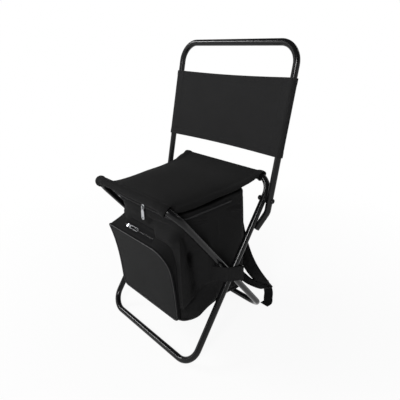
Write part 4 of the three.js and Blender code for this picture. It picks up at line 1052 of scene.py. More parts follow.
def drawn_in(at, points):
    """Shift of the left front corner, drawn to the middle above the pocket: a bell of the distance to it."""
    bell, inwards = 0.045, np.array([0.69, 0.72, 0])
    # where the pull starts and is full about the pocket's top, and fades and ends about the zip
    start, full, fade, end = -0.040, 0.015, -0.036, 0.014
    away = np.linalg.norm(points[..., :2] - np.array([-at.bag_half, at.b.front]), axis=-1)
    z = points[..., 2]
    high = smooth_step(z, at.pocket_top + start, at.pocket_top + full)
    high = high * (1 - smooth_step(z, at.zip_height + fade, at.zip_height + end))
    pull = at.b.corner_pull * high * np.exp(-((away / bell) ** 2))
    return pull[..., None] * inwards


def hung(at, points):
    """The bag as it hangs: its lower part moves to the rear and climbs there.

    Both go with the depth below the zip. The rear foot sags by the cube of that depth and a bell of the
    distance from the rear.
    """
    low = np.maximum(at.zip_height - points[..., 2], 0) / at.bag_height
    back = (points[..., 1] - at.b.front) / (at.b.rear - at.b.front)
    moved = points.copy()
    moved[..., 1] += at.b.setback * low
    sag_at, sag_width = 0.9, 0.17
    sag = at.b.rear_sag * low**3 * np.exp(-(((back - sag_at) / sag_width) ** 2))
    moved[..., 2] += at.b.climb * low * back - sag
    return moved + drawn_in(at, moved)


def wall_swell(at, rise):
    """Swell of the bag's wall at a share of its height, the most in the middle."""
    return at.b.belly * np.sin(math.pi * rise) ** 0.8


def bag_rows(at, inset, top, count):
    """Rows of a bag surface from the bottom's middle to the rim: shares from the middle, offsets, heights."""
    b = at.b
    bottom_sag = 0.004
    base = b.base + inset
    disc = np.array([0.03, 0.2, 0.4, 0.6, 0.8, 0.93])
    turn = np.linspace(0, math.pi / 2, 8)
    rise = np.linspace(0, 1, count + 1)[1:]
    share_out = np.concatenate([disc, np.ones(8 + count)])
    offset = np.concatenate([
        np.full(6, -b.bottom_round), -b.bottom_round * (1 - np.sin(turn)), wall_swell(at, rise),
    ]) - inset
    z = np.concatenate([
        base - bottom_sag * (1 - disc**2), base + b.bottom_round * (1 - np.cos(turn)),
        base + b.bottom_round + (top - base - b.bottom_round) * rise,
    ])
    return share_out, offset, z


def bag_surface(at, inset, top, steps):
    """Lofted bag skin: the plan outline moved out by each row's swell, plus the folds, then hung.

    steps gives the columns on each straight side, in each corner, and the rows.
    """
    plan, out = bag_outline(at, *steps[:2])
    share_out, offset, z = bag_rows(at, inset, top, steps[2])
    points = at_height(lofted(at, plan, out, share_out, offset[:, None]), z[:, None])
    push = bag_folds(at, points, out) * smooth_step(share_out, 0.8, 1.0)[:, None]
    points[..., :2] += push[..., None] * out[None]
    return hung(at, points)


def fold(u, v, start, end, width, height):
    """Soft ridge along a line of the wall: a bell across it, fading at its ends."""
    start, end = np.asarray(start), np.asarray(end)
    along = end - start
    size = np.linalg.norm(along)
    s = ((u - start[0]) * along[0] + (v - start[1]) * along[1]) / size**2
    d = ((u - start[0]) * along[1] - (v - start[1]) * along[0]) / size
    window = smooth_step(s, -0.15, 0.2) * (1 - smooth_step(s, 0.8, 1.15))
    return height * np.exp(-((d / width) ** 2)) * window


def squared(at, out, z):
    """How far the front corners stand out of their round: the right one below the lid, the left one at it."""
    # heights between which the right one begins and ends, and depths below the zip where the left one begins
    right_foot, right_head, left_foot = (0.110, 0.150), (0.300, 0.325), (0.022, 0.004)
    square = 1 / np.maximum(np.abs(out[..., 0]), np.abs(out[..., 1])) - 1
    right = (out[..., 0] > 0) * smooth_step(z, *right_foot) * (1 - smooth_step(z, *right_head))
    left = (out[..., 0] < 0) * smooth_step(z, at.zip_height - left_foot[0], at.zip_height - left_foot[1])
    return at.b.square_edge * square * (out[..., 1] < 0) * (right + left)


def bag_folds(at, points, out):
    """Folds of the shell: soft ridges and valleys along lines of the sides (y, z) and of the front (x, z)."""
    x, y, z = points[..., 0], points[..., 1], points[..., 2]
    beside = smooth_step(np.abs(out[None, :, 0]), 0.2, 0.8)
    before = smooth_step(-out[None, :, 1], 0.5, 0.95)
    side = sum(fold(y, z, *line) for line in SIDE_FOLDS)
    front = sum(fold(x, z, *line) for line in FRONT_FOLDS)
    return beside * side + before * front + squared(at, out[None], z)


def cup(at, inset, thickness, top, steps=(30, 10, 50)):
    """Open-topped cup: outer skin up to the rim, inner skin down, closed by fans in the bottom's middle."""
    outside = bag_surface(at, inset, top, steps)
    inside = bag_surface(at, inset + thickness, top, steps)
    plan, _ = bag_outline(at, *steps[:2])
    rows = np.concatenate([outside, inside[::-1]])
    above_round = 0.02
    bottom = rows[..., 2] < at.b.base + at.b.bottom_round + above_round
    return grid(rows, cap_rows=True, flat=flat_on_bag(plan, rows, bottom))


def seam_path(at, z, swell):
    """Path round the bag at one height, just outside its wall, with the outward directions."""
    plan, out = bag_outline(at)
    return hung(at, at_height(plan + out * swell, z)), at_height(out, 0.0)


class STOOL_OT_bag(bpy.types.Operator):
    """Cooler bag: outer shell with folds and seams, foam and foil liner"""

    bl_idname = "stool.bag"
    bl_label = "Cooler bag"

    def execute(self, context):
        at = layout(context)
        b = at.b
        rim = at.zip_height - at.gap
        shell = cup(at, 0.0, b.fabric * 0.8, rim, steps=(60, 14, 100))
        # the shell's canvas is darkened: painted shade under the seat
        piece("bag_shell_sewn", shell, "shaded bag canvas", "black_canvas", "cooler_bag", ("bag_shell",))
        foam_in = b.fabric + at.gap
        foam = cup(at, foam_in, b.foam, rim)
        made = piece("bag_foam_cup", foam, "closed foam", "foam", "cooler_bag", ("bag_foam",))
        liner_in = foam_in + b.foam + at.gap
        liner = cup(at, liner_in, b.liner, rim)
        piece("bag_liner_cup", liner, "silver foil", "foil", "cooler_bag", ("bag_liner",))
        cord_radius, cord_off, thread_off = 0.0014, 0.0006, 0.0008
        seam_above_cord, seam_below_rim = 0.005, 0.009
        foot_seam = b.base + b.bottom_round * 1.1
        foot, _ = seam_path(at, foot_seam, cord_off)
        cord = carried(foot, circle(cord_radius, 10), UP, closed=True)
        piece("bag_base_piping", cord, "woven tape", "webbing", "cooler_bag")
        levels = (foot_seam + seam_above_cord, rim - seam_below_rim)
        rows = [stitch_row(*seam_path(at, z, thread_off), at.c) for z in levels]
        piece("bag_stitching", rows, "sewing thread", "black_canvas", "cooler_bag")
        return {"FINISHED"}


def lid_fall(at, spots):
    """How far the lid's sides lie below its middle in front, where the seat's edges sag."""
    start, full, front_end, rear_end = 0.038, 0.010, 0.10, 0.17
    side = smooth_step(np.abs(spots[..., 0]), at.bag_half - start, at.bag_half - full)
    return at.b.lid_fall * side * (1 - smooth_step(spots[..., 1] - at.b.front, front_end, rear_end))


def lid_surface(at, inset, crown):
    """Lid skin from its rim over a rounded edge to the crowned top: rows of the plan outline moved in."""
    b = at.b
    plan, out = bag_outline(at)
    rim = at.zip_height + at.gap
    turn = np.linspace(0, math.pi / 2, 8)
    top = at.lid_top - inset
    rows = [[1, -inset, rim], [1, -inset, (rim + top - b.lid_round) / 2]]
    rows += [
        [1, -inset - b.lid_round * (1 - math.cos(a)), top - b.lid_round * (1 - math.sin(a))] for a in turn
    ]
    rows += [[s, -inset - b.lid_round, top + crown * (1 - s**2)] for s in (0.93, 0.8, 0.6, 0.4, 0.2, 0.03)]
    share_out, offset, z = np.array(rows).T
    spots = lofted(at, plan, out, share_out, offset[:, None] + squared(at, out[None], z[:, None]))
    falling = np.clip((z - rim) / (at.lid_top - rim), 0, 1)[:, None]
    return hung(at, at_height(spots, z[:, None] - falling * lid_fall(at, spots)))


def lid_pad(at):
    """Pad under the lid's top: level faces, the lower one a little wavy, and a half-round edge."""
    b = at.b
    plan, out = bag_outline(at)
    ceiling = at.lid_top - b.fabric - at.gap
    inset = b.fabric + at.gap + b.lid_round
    half = b.lid_pad / 2
    wave, wave_rate = 0.0006, 14
    edge = np.linspace(-math.pi / 2, math.pi / 2, 9)
    floor = ceiling - b.lid_pad
    rows = [[s, 0, floor + wave * math.sin(wave_rate * s)] for s in (0.03, 0.25, 0.5, 0.75, 0.93)]
    rows += [[1, half * (math.cos(a) - 1), ceiling - half + half * math.sin(a)] for a in edge]
    rows += [[s, 0, ceiling] for s in (0.93, 0.5, 0.03)]
    share_out, offset, z = np.array(rows).T
    spots = lofted(at, plan, out, share_out, offset[:, None] - inset)
    points = hung(at, at_height(spots, z[:, None] - lid_fall(at, spots)))
    return grid(points, cap_rows=True, flat=points[..., :2])


class STOOL_OT_lid(bpy.types.Operator):
    """Zipped lid with a foil-faced pad"""

    bl_idname = "stool.lid"
    bl_label = "Lid"

    def execute(self, context):
        at = layout(context)
        crown = 0.0025
        outside = lid_surface(at, 0.0, crown)
        inside = lid_surface(at, at.b.fabric, 0.0)
        rows = np.concatenate([inside[::-1], outside])
        plan, _ = bag_outline(at)
        # the rows near the middle are the lid's wall, the others lie on its top
        on_top = np.abs(np.arange(len(rows)) - (len(rows) - 1) / 2) > 5
        lid = grid(rows, cap_rows=True, flat=flat_on_bag(plan, rows, on_top[:, None]))
        piece("bag_lid_sewn", lid, "shaded bag canvas", "black_canvas", "lid", ("bag_lid",))
        made = piece("lid_pad_foil", lid_pad(at), "silver foil", "foil", "lid", ("lid_pad",))
        return {"FINISHED"}


# Zips


def tooth_shape():
    """Zip tooth: a soft box carried along Y, a little narrower at its ends."""
    half, width, height = 0.0008, 0.0008, 0.0011
    steps = np.array([-1, -0.6, 0.6, 1.0])[:, None]
    taper = np.array([0.6, 1.0, 1.0, 0.6])[:, None]
    return carried(steps * half * REARWARD, soft_box(width, height, 4, 8), ACROSS, scale=taper)


def lid_zip_path(at, z):
    """Path of the lid's zip on the bag's front and two sides, with the outward directions."""
    b = at.b
    plan, out = bag_outline(at)
    kept = plan[:, 1] <= b.rear - b.corner - b.tape_setback
    plan, out = plan[kept], out[kept]
    offset = at.gap + b.tape_thickness / 2 + squared(at, out, z)
    return hung(at, at_height(plan + out * offset[:, None], z)), at_height(out, 0.0)


class STOOL_OT_zips(bpy.types.Operator):
    """Zip tapes with teeth round the lid, and the zips' sliders and pulls"""

    bl_idname = "stool.zips"
    bl_label = "Zips"

    def execute(self, context):
        at = layout(context)
        b = at.b
        teeth_off, seam_inside, edge_round = 0.0011, 0.0008, 0.00035
        for name, sign, body in (("lower", -1.0, "cooler_bag"), ("upper", 1.0, "lid")):
            path, out = lid_zip_path(at, at.zip_height + sign * (at.gap + b.tape / 2))
            tape = carried(path, soft_box(b.tape, b.tape_thickness, 6, 20), UP)
            piece(f"lid_zip_{name}_band", tape, "woven tape", "webbing", body, (f"lid_zip_{name}_tape",))
            line = path + out * (b.tape_thickness / 2)
            line[:, 2] = at.zip_height + sign * teeth_off
            teeth = repeated(tooth_shape(), *spaced(line, out, TOOTH_PITCH))
            piece(f"lid_zip_{name}_teeth", teeth, "zip teeth", "webbing", body)
            line[:, 2] = at.zip_height + sign * (at.gap + b.tape - seam_inside)
            seam = stitch_row(line, out, at.c)
            piece(f"lid_zip_{name}_stitching", seam, "sewing thread", "black_canvas", body)
        rows = (
            ("lid", "slider", "plated zinc"), ("lid", "pull", "plated zinc"),
            ("pocket", "slider", "plated zinc"), ("pocket", "pull", "dulled zinc"),
        )
        for place, part, finish in rows:
            node = f"{place}_zip_{part}"
            bevelled_copy(f"{node}_cast", node, finish, f"{place}_{part}", edge_round)
        return {"FINISHED"}


# Front pocket


def pocket_back(at, z):
    """Place of the bag's front behind the pocket at a height."""
    b = at.b
    return b.front + b.setback * (at.zip_height - z) / at.bag_height - b.belly - at.gap


def pocket_depth(at, z):
    """How far the front panel stands out at a height: nearly flat below, with a cubic flare near the top."""
    b = at.b
    t = (z - b.pocket_bottom) / (at.pocket_top - b.pocket_bottom)
    low = b.pocket_depth_low + (b.pocket_depth_mid - b.pocket_depth_low) * t
    return low + (b.pocket_depth_top - b.pocket_depth_mid) * np.clip(t, 0, 1) ** 3


def pocket_outline(at, inset=0.0):
    """Outline of the front panel (x, z): a rectangle with one large and three small round corners."""
    b = at.b
    low = np.array([-at.pocket_half, b.pocket_bottom]) + inset
    high = np.array([at.pocket_half, at.pocket_top]) - inset
    radii = np.array([b.pocket_corner, b.pocket_corner_left, b.pocket_foot_corner, b.pocket_foot_corner])
    outline, _ = rounded_outline(low, high, radii - inset, 24, 21)
    return outline


def on_pocket(at, xz, back_share):
    """Places of the pocket over outline points: from its front panel to the bag, where its top is higher."""
    b = at.b
    z = xz[..., 1]
    back = pocket_back(at, z)
    y = back - pocket_depth(at, z) * (1 - back_share)
    climb = b.pocket_rise * smooth_step(z, at.pocket_top - b.pocket_corner, at.pocket_top)
    points = np.stack([xz[..., 0], y, z + climb * back_share], -1)
    return points + drawn_in(at, points) * back_share


class STOOL_OT_pocket(bpy.types.Operator):
    """Front pocket: crowned front panel, gusset, piping in its edge and a zipped top"""

    bl_idname = "stool.pocket"
    bl_label = "Front pocket"

    def execute(self, context):
        at = layout(context)
        b = at.b
        outline = pocket_outline(at)
        centre = np.array([0, (b.pocket_bottom + at.pocket_top) / 2])
        shares = np.array([0.02, 0.15, 0.3, 0.45, 0.6, 0.72, 0.82, 0.9, 0.96, 1.0])
        spots = centre + (outline - centre)[None] * shares[:, None, None]
        crown, slack_height, thickness = 0.003, 0.0008, 0.0016
        panel = on_pocket(at, spots, 0.0)
        panel[..., 1] -= crown * (1 - shares[:, None] ** 2.5)
        # slack waves across the panel
        slack = np.sin(spots[..., 0] * 38 + 1.1) * np.sin(spots[..., 1] * 30)
        panel[..., 1] -= slack_height * slack * (1 - shares[:, None] ** 4)
        rows = np.concatenate([panel, panel[::-1] + thickness * REARWARD])
        front = grid(rows, cap_rows=True, flat=rows[..., [0, 2]])
        piece("pocket_front_panel", front, "pocket canvas", "pocket_canvas", "cooler_bag", ("front_pocket",))
        gusset_inset, gusset_thickness, gusset_draw = 0.0014, 0.0013, 0.010
        back_share = np.linspace(0.0, 1.0, 14)
        inner = pocket_outline(at, gusset_inset)
        side = np.stack([on_pocket(at, inner, s) for s in back_share], 1)
        # the gusset's middle is drawn in a little all round
        drawn = gusset_draw * np.sin(math.pi * back_share)[None, :, None]
        side += (np.array([0, 0, centre[1]]) - side) * np.array([1, 0, 1]) * drawn
        gusset = sheet(side, gusset_thickness, wrap_rows=True)
        # the gusset's canvas is darkened further: painted shadow of the seat
        piece("pocket_gusset", gusset, "shaded gusset canvas", "black_canvas", "cooler_bag")

        def edge(inset, back_share, behind):
            """Closed path on the pocket, inside its outline, from front (0) to back (1), moved behind it."""
            return on_pocket(at, pocket_outline(at, inset), back_share) + behind * REARWARD

        cords = (
            ("pocket_edge_binding", edge(0.0004, 0, 0.0006), circle(0.0017, 12), "woven tape", "webbing"),
            ("pocket_piping", edge(0.0030, 0, -0.0008), circle(0.0006, 10), "piping cord with painted highlight", "pocket_canvas"),
            ("pocket_rear_binding", edge(0, 1, 0.0006), circle(0.0013, 10), "woven tape", "webbing"),
        )
        for name, path, section, material, slot in cords:
            piece(name, carried(path, section, REARWARD, closed=True), material, slot, "cooler_bag")
        seam = edge(0.006, 0, -0.0012)
        thread = stitch_row(seam, np.broadcast_to(-REARWARD, seam.shape), at.c)
        piece("pocket_stitching", thread, "sewing thread", "pocket_canvas", "cooler_bag")
        self.zip(at)
        return {"FINISHED"}

    def zip(self, at):
        """Zip in the top gusset: two tapes and two rows of teeth in the gusset's plane."""
        b = at.b
        depth = b.pocket_depth_top
        slope = unit(np.array([0, depth, b.pocket_rise]))
        normal = np.array([0, -slope[2], slope[1]])
        middle = np.array([0, pocket_back(at, at.pocket_top) - depth / 2, at.pocket_top + b.pocket_rise / 2])
        end_gap, tape_width, tape_thickness = 0.004, 0.010, 0.0008
        half = at.pocket_half - b.pocket_zip_margin - end_gap
        run = middle + np.linspace(-half, half, 60)[:, None] * ACROSS
        out = np.broadcast_to(normal, run.shape)
        tape_off, tape_depth, teeth_off, teeth_depth = 0.0055, 0.0009, 0.0008, 0.0005
        tapes, teeth = [], []
        for sign in (1, -1):
            path = run + slope * (sign * tape_off) - normal * tape_depth
            tapes.append(carried(path, soft_box(tape_width, tape_thickness, 6, 20), slope))
            row = run + slope * (sign * teeth_off) - normal * teeth_depth
            teeth.append(repeated(tooth_shape(), *spaced(row, out, TOOTH_PITCH)))
        piece("pocket_zip_tapes", tapes, "woven tape", "webbing", "cooler_bag", ("pocket_zip",))
        piece("pocket_zip_teeth", teeth, "zip teeth", "webbing", "cooler_bag")


# Bands that hold the bag to the leg crossings


class STOOL_OT_bands(bpy.types.Operator):
    """Bands sewn to the bag's sides that go round the leg crossings"""

    bl_idname = "stool.bands"
    bl_label = "Crossing bands"

    def execute(self, context):
        at = layout(context)
        b = at.b
        wall = at.bag_half + b.belly + at.gap
        over = at.outer_half + at.reach + RIVET_HEAD_HEIGHT + 2 * at.gap
        outside = over + b.band_thickness / 2
        # places along Y where the band leaves the bag, bends, bends back and meets the bag again
        leave, bend, bend_back, meet = 0.100, 0.103, 0.159, 0.200
        front_bend, rear_bend = 0.006, 0.009
        above_crossing, bow_out, bow_run, hem_extra = 0.001, 0.0012, 0.018, 0.0007
        corners = np.array([[wall, leave, 0], [outside, bend, 0], [outside, bend_back, 0], [wall, meet, 0]])
        route = bent_path(corners, [0, front_bend, rear_bend, 0], 8)
        t = np.linspace(-0.5, 0.5, 15)
        droop = b.band_droop * (over - route[:, 0]) / (over - wall)
        mid_height = at.crossing[1] + above_crossing - droop - b.band_tilt * (route[:, 1] - at.crossing[0])
        points = np.repeat(route[:, None], len(t), 1)
        points[..., 2] = mid_height[:, None] + t[None] * b.band_height
        # the band bows out a little over the rivet
        bow = np.exp(-(((points[..., 1] - at.crossing[0]) / bow_run) ** 2)) * np.cos(math.pi * t)[None] ** 2
        points[..., 0] += bow_out * bow * (route[:, 0] > over - 0.002)[:, None]
        hem = hem_extra * (np.abs(t) > 0.4)[None]
        middle = len(t) // 2
        band, skin, outwards = hemmed(points, b.band_thickness + hem, ACROSS, middle)
        rows = [stitch_row(skin[:, k], outwards[:, k], at.c) for k in (1, len(t) - 2)]
        for side, sign in SIDES:
            node = f"crossing_band_{side}"
            cloth, seam = on_side(sign, [band]), on_side(sign, rows)
            made = piece(f"{node}_sewn", cloth, "shaded bag canvas", "black_canvas", "cooler_bag", (node,))
            thread = piece(f"{node}_stitching", seam, "sewing thread", "black_canvas", "cooler_bag")
        return {"FINISHED"}


# Shoulder straps


def rear_face(at, z):
    """Place of the bag's rear face at a height, with the fitting gap."""
    b = at.b
    level = (z * at.bag_height - b.climb * at.zip_height) / (at.bag_height - b.climb)
    low, high = b.base + b.bottom_round, at.zip_height - at.gap
    rise = np.clip((level - low) / (high - low), 0, 1)
    return b.rear + wall_swell(at, rise) + b.setback * (at.zip_height - level) / at.bag_height + at.gap


def pad_points(at):
    """Four points of the strap pad's curve from the bag's back, bowed away, to behind the rear floor bar."""
    b = at.b
    below_zip, top_margin, splay = 0.021, 0.055, 0.014
    end_margin, end_behind, end_height = 0.007, 0.097, 0.053
    bow_at, bow_out, bow_back, bow_up = 0.58, 0.021, 0.065, 0.086
    end = np.array([at.bag_half - end_margin, b.rear + end_behind, end_height])
    top = at.zip_height - below_zip
    bow = top + (end[2] - top) * bow_at
    top_x = at.bag_half - top_margin
    return [
        np.array([top_x, rear_face(at, top) + b.pad_thickness * 0.25, top]),
        np.array([top_x + splay, rear_face(at, bow) + bow_out, bow]),
        end + np.array([-splay, -bow_back, bow_up]),
        end,
    ]


def pad_side(at, t):
    """Side direction of the pad: across the bag at its top, turned outwards and back towards its end."""
    turn = at.b.pad_twist * smooth_step(np.asarray(t), 0, 1)
    return np.stack([np.cos(turn), np.sin(turn), 0 * turn], -1)


def strap_axes(path, side):
    """Directions of a strap along its path: ahead, across, from the side made square to it, and normal."""
    ahead = path_directions(path)
    across = square_to(ahead, side)
    return ahead, across, unit(np.cross(across, ahead))


def pad_run(at, count):
    """Strap pad in even steps of its curve's parameter: path, side direction, width and fullness there."""
    b = at.b
    t = np.linspace(0.0, 1.0, count)
    return SimpleNamespace(
        t=t, path=bezier(pad_points(at), t), side=pad_side(at, t),
        width=b.pad_width_top + (b.pad_width_end - b.pad_width_top) * t,
        full=np.minimum(1, 4 * np.minimum(t, 1 - t) + 0.55),
    )


def pad_blank(at, slim):
    """Strap pad before it swells: a flat superellipse carried along the curve, slimmer at both ends."""
    run = pad_run(at, 61)
    scale = np.stack([run.width - slim, (at.b.pad_thickness - slim) * run.full], -1)
    return carried(run.path, soft_box(1.0, 1.0, 3.0, 40), run.side, scale=scale)


PAD_CLOTH = {
    "quality": 6, "mass": 0.3, "tension_stiffness": 18, "compression_stiffness": 18,
    "shear_stiffness": 6, "bending_stiffness": 0.6, "use_pressure": True,
}


def swollen(made, voxel, pressure, cap, frames):
    """Swells a closed pad with Blender's cloth: voxel remesh, inner pressure without gravity, capped moves.
    """
    scene = bpy.context.scene
    remesh = made.modifiers.new("even mesh", "REMESH")
    remesh.mode = "VOXEL"
    remesh.voxel_size = voxel
    depsgraph = bpy.context.evaluated_depsgraph_get()
    even = bpy.data.meshes.new_from_object(made.evaluated_get(depsgraph))
    made.modifiers.clear()
    made.data = even
    start = np.empty(len(even.vertices) * 3)
    even.vertices.foreach_get("co", start)
    start = start.reshape(-1, 3)
    cloth = made.modifiers.new("swell", "CLOTH")
    for name, value in PAD_CLOTH.items():
        setattr(cloth.settings, name, value)
    cloth.settings.uniform_pressure_force = pressure
    cloth.settings.effector_weights.gravity = 0
    cloth.point_cache.frame_start = 1
    cloth.point_cache.frame_end = frames
    for step in range(1, frames + 1):
        scene.frame_set(step)
    result = made.evaluated_get(bpy.context.evaluated_depsgraph_get()).to_mesh()
    moved = np.empty(len(even.vertices) * 3)
    result.vertices.foreach_get("co", moved)
    shift = moved.reshape(-1, 3) - start
    size = np.linalg.norm(shift, axis=1, keepdims=True)
    start = start + shift * np.minimum(1, cap / np.maximum(size, 1e-9))
    made.modifiers.clear()
    scene.frame_set(1)
    even.vertices.foreach_set("co", start.astype(np.float32).ravel())
    even.polygons.foreach_set("use_smooth", np.ones(len(even.polygons), bool))
    smoother = made.modifiers.new("smooth", "SUBSURF")
    smoother.levels = 1
    smoother.render_levels = 1


def lock_place(at):
    """Frame of the buckle at the pad's end: its middle, across, up and normal directions."""
    below_pad = 0.016
    t = np.linspace(0.98, 1, 3)
    path = bezier(pad_points(at), t)
    ahead, across, _ = strap_axes(path, pad_side(at, t))
    middle = path[-1] + ahead[-1] * (at.gap + below_pad)
    up = -ahead[-1]
    return middle, across[-1], up, np.cross(across[-1], up)


def lock_shape(at):
    """Ladder buckle: soft boxes carried round a rounded frame and along a middle bar, a plate and a lip."""
    middle, across, up, normal = lock_place(at)
    half, end, corner = 0.0155, 0.014, 0.004
    spots, _ = rounded_corners((-half, -end), (half, end), corner, 6)
    spots = spots.reshape(-1, 2)
    rim = middle + spots[:, :1] * across + spots[:, 1:] * up
    parts = [carried(rim, soft_box(0.0030, 0.0035, 4, 20), normal, closed=True)]
    # share of the half width, place up and out of the middle, and section of each bar
    bars = (
        (1.0, 0.0, 0.0, soft_box(0.0034, 0.0036, 3, 20)),
        (0.9, 0.0075, 0.0, soft_box(0.0022, 0.0088, 4, 20)),
        (0.8, -end - 0.0016, 0.001, soft_box(0.0022, 0.0034, 3, 16)),
    )
    for part, high, out, section in bars:
        span = np.linspace(-half, half, 12)[:, None] * part
        parts.append(carried(middle + span * across + up * high + normal * out, section, normal))
    return parts


def webbing_path(at):
    """Route of the strap's web, from the bag's foot, sagging, through the buckle to the floor, and its sides.

    The side directions change evenly from one point of the route to the next.
    """
    b = at.b
    margin, above_base, sag = 0.044, 0.014, 0.014
    slot_below, slot_run, slot_slant = 0.007, 0.006, 0.4
    hang = np.array([0.003, 0.008, -0.021])
    tail_margin, tail_fold, tail_end, tail_height = 0.004, 0.033, 0.015, 0.0035
    landing_share, landing_height = 0.6, 0.007
    middle, across, up, normal = lock_place(at)
    slot = middle - up * slot_below
    height = b.base + b.climb + above_base
    anchor = np.array([at.bag_half - margin, rear_face(at, height - b.webbing_thickness), height])
    square = normal * np.sign(normal @ (slot - anchor))
    passing = unit(square - up * slot_slant) * slot_run
    sagging = (anchor + slot) / 2 - UP * sag
    hanging = slot + hang
    floor_x, floor_bar = at.inner_half - tail_margin, at.f.inner_floor_bar
    fold_at = np.array([floor_x, floor_bar + tail_fold, tail_height])
    end = np.array([floor_x, floor_bar + tail_end, tail_height])
    landing = hanging + (fold_at - hanging) * landing_share
    landing[2] = landing_height
    route = [anchor, sagging, slot - passing, slot, slot + passing, hanging, landing, fold_at, end]
    sides = np.array([
        [0.5, 0.3, 0.8], [0.7, 0.4, 0.6], across, across, across,
        [0.8, 0.6, 0.1], [0.75, 0.65, 0], [1, 0.3, 0], [1, 0, 0],
    ])
    steps = 10
    path = through(np.array(route), steps)
    place = np.arange(len(path)) / steps
    side = np.stack([np.interp(place, np.arange(len(sides)), sides[:, k]) for k in range(3)], -1)
    return path, side


def pad_trim(at):
    """Bindings round the strap pad, the web sewn on it and the stitches of both."""
    b = at.b
    edge_width, edge_height, end_width, end_height = 0.011, 0.0050, 0.008, 0.0052
    web_from, web_lift, web_thickness, thread_lift = 0.42, 0.0002, 0.0014, 0.0008
    web_width, web_seam = b.webbing_width * 0.8, b.webbing_width * 0.34
    seam_inset, seam_level = 0.006, b.pad_thickness * 0.36
    run = pad_run(at, 80)
    ahead, across, normal = strap_axes(run.path, run.side)
    half, full = (run.width / 2)[:, None], run.full[:, None]
    edging = soft_box(edge_width, edge_height, 4, 20)
    binding = [
        carried(run.path + across * (half - edge_width / 2) * sign, edging, across) for sign in (1, -1)
    ]
    reach = np.linspace(-1, 1, 16)[:, None]
    for end, inwards in ((0, 1), (-1, -1)):
        row = run.path[end] + across[end] * half[end] * reach + ahead[end] * (end_width / 2 * inwards)
        binding.append(carried(row, soft_box(end_width, end_height, 4, 20), ahead[end]))
    kept = run.t > web_from
    web = (run.path + normal * (b.pad_thickness / 2 * full + web_lift))[kept]
    strip = carried(web, soft_box(web_width, web_thickness, 6, 24), run.side[kept])
    rows = []
    for sign in (1, -1):
        beside = run.path + across * (half - seam_inset) * sign
        for face in (1, -1):
            seam = beside + normal * face * (seam_level * full)
            rows.append(stitch_row(seam[2:-2], normal[2:-2] * face, at.c))
        edge = web + across[kept] * (web_seam * sign) + normal[kept] * thread_lift
        rows.append(stitch_row(edge, normal[kept], at.c))
    return binding, strip, rows


def anchor_tab(at, anchor):
    """Patch of cloth sewn over the web's end on the bag, laid on the bag's rear face."""
    half_width, half_height, lift, thickness = 0.019, 0.014, 0.0004, 0.0014
    z = np.linspace(-half_height, half_height, 9)[:, None] + anchor[2]
    x = np.linspace(-half_width, half_width, 11)[None] + anchor[0]
    tab = np.stack(np.broadcast_arrays(x, rear_face(at, z) + lift, z), -1)
    return sheet(tab, thickness)


class STOOL_OT_straps(bpy.types.Operator):
    """Shoulder straps: swollen pads with bindings and stitching, buckles and webbing"""

    bl_idname = "stool.straps"
    bl_label = "Shoulder straps"

    def execute(self, context):
        at = layout(context)
        b = at.b
        binding, strip, rows = pad_trim(at)
        route, web_side = webbing_path(at)
        webbing = carried(route, soft_box(b.webbing_width, b.webbing_thickness, 8, 28), web_side)
        tab = anchor_tab(at, route[0])
        for side, sign in SIDES:
            node, buckle, web = f"strap_pad_{side}", f"strap_buckle_{side}", f"strap_webbing_{side}"
            blank = on_side(sign, [pad_blank(at, slim=0.0016)])
            pad = piece(f"{node}_swollen", blank, "shaded bag canvas", "black_canvas", None, (node,))
            swollen(pad, voxel=0.0042, pressure=4.0, cap=0.006, frames=20)
            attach(pad, "cooler_bag")
            trims = (
                (f"strap_binding_{side}", binding, "woven tape"),
                (f"strap_sewn_web_{side}", [strip], "woven web"),
                (f"strap_stitching_{side}", rows, "sewing thread"),
            )
            for name, shapes, material in trims:
                piece(name, on_side(sign, shapes), material, "webbing", "cooler_bag")
            lock = on_side(sign, lock_shape(at))
            piece(f"{buckle}_moulded", lock, "moulded plastic", "black_plastic", "cooler_bag", (buckle,))
            strap = on_side(sign, [webbing])
            made = piece(f"{web}_woven", strap, "woven web", "webbing", "cooler_bag", (web,))
            cover = on_side(sign, [tab])
            piece(f"strap_anchor_{side}", cover, "shaded bag canvas", "black_canvas", "cooler_bag")
        return {"FINISHED"}


# Finishes


def feed(tree, node, inputs):
    """Gives inputs of a node a value each, or links another node's output to them."""
    for key, value in inputs.items():
        if isinstance(value, bpy.types.NodeSocket):
            tree.links.new(value, node.inputs[key])
        else:
            node.inputs[key].default_value = value


def add(tree, kind, inputs=None, **settings):
    """Shader node with its settings and inputs."""
    made = tree.nodes.new(kind)
    for name, value in settings.items():
        setattr(made, name, value)
    feed(tree, made, inputs or {})
    return made


def calc(tree, operation, a, b=0.0, c=0.0):
    return add(tree, "ShaderNodeMath", {0: a, 1: b, 2: c}, operation=operation).outputs[0]


def noise(tree, place, inputs):
    return add(tree, "ShaderNodeTexNoise", {"Vector": place, **inputs}).outputs[0]


def effect_group(name, place, values, outputs):
    """Empty node group with a vector input, float inputs with their defaults and float outputs.

    Returns the group, the sockets that it is given and the node of its outputs.
    """
    group = bpy.data.node_groups.new(name, "ShaderNodeTree")
    group.interface.new_socket(name=place, in_out="INPUT", socket_type="NodeSocketVector")
    for socket, value in values.items():
        made = group.interface.new_socket(name=socket, in_out="INPUT", socket_type="NodeSocketFloat")
        made.default_value = value
    for socket in outputs:
        group.interface.new_socket(name=socket, in_out="OUTPUT", socket_type="NodeSocketFloat")
    return group, group.nodes.new("NodeGroupInput").outputs, group.nodes.new("NodeGroupOutput")


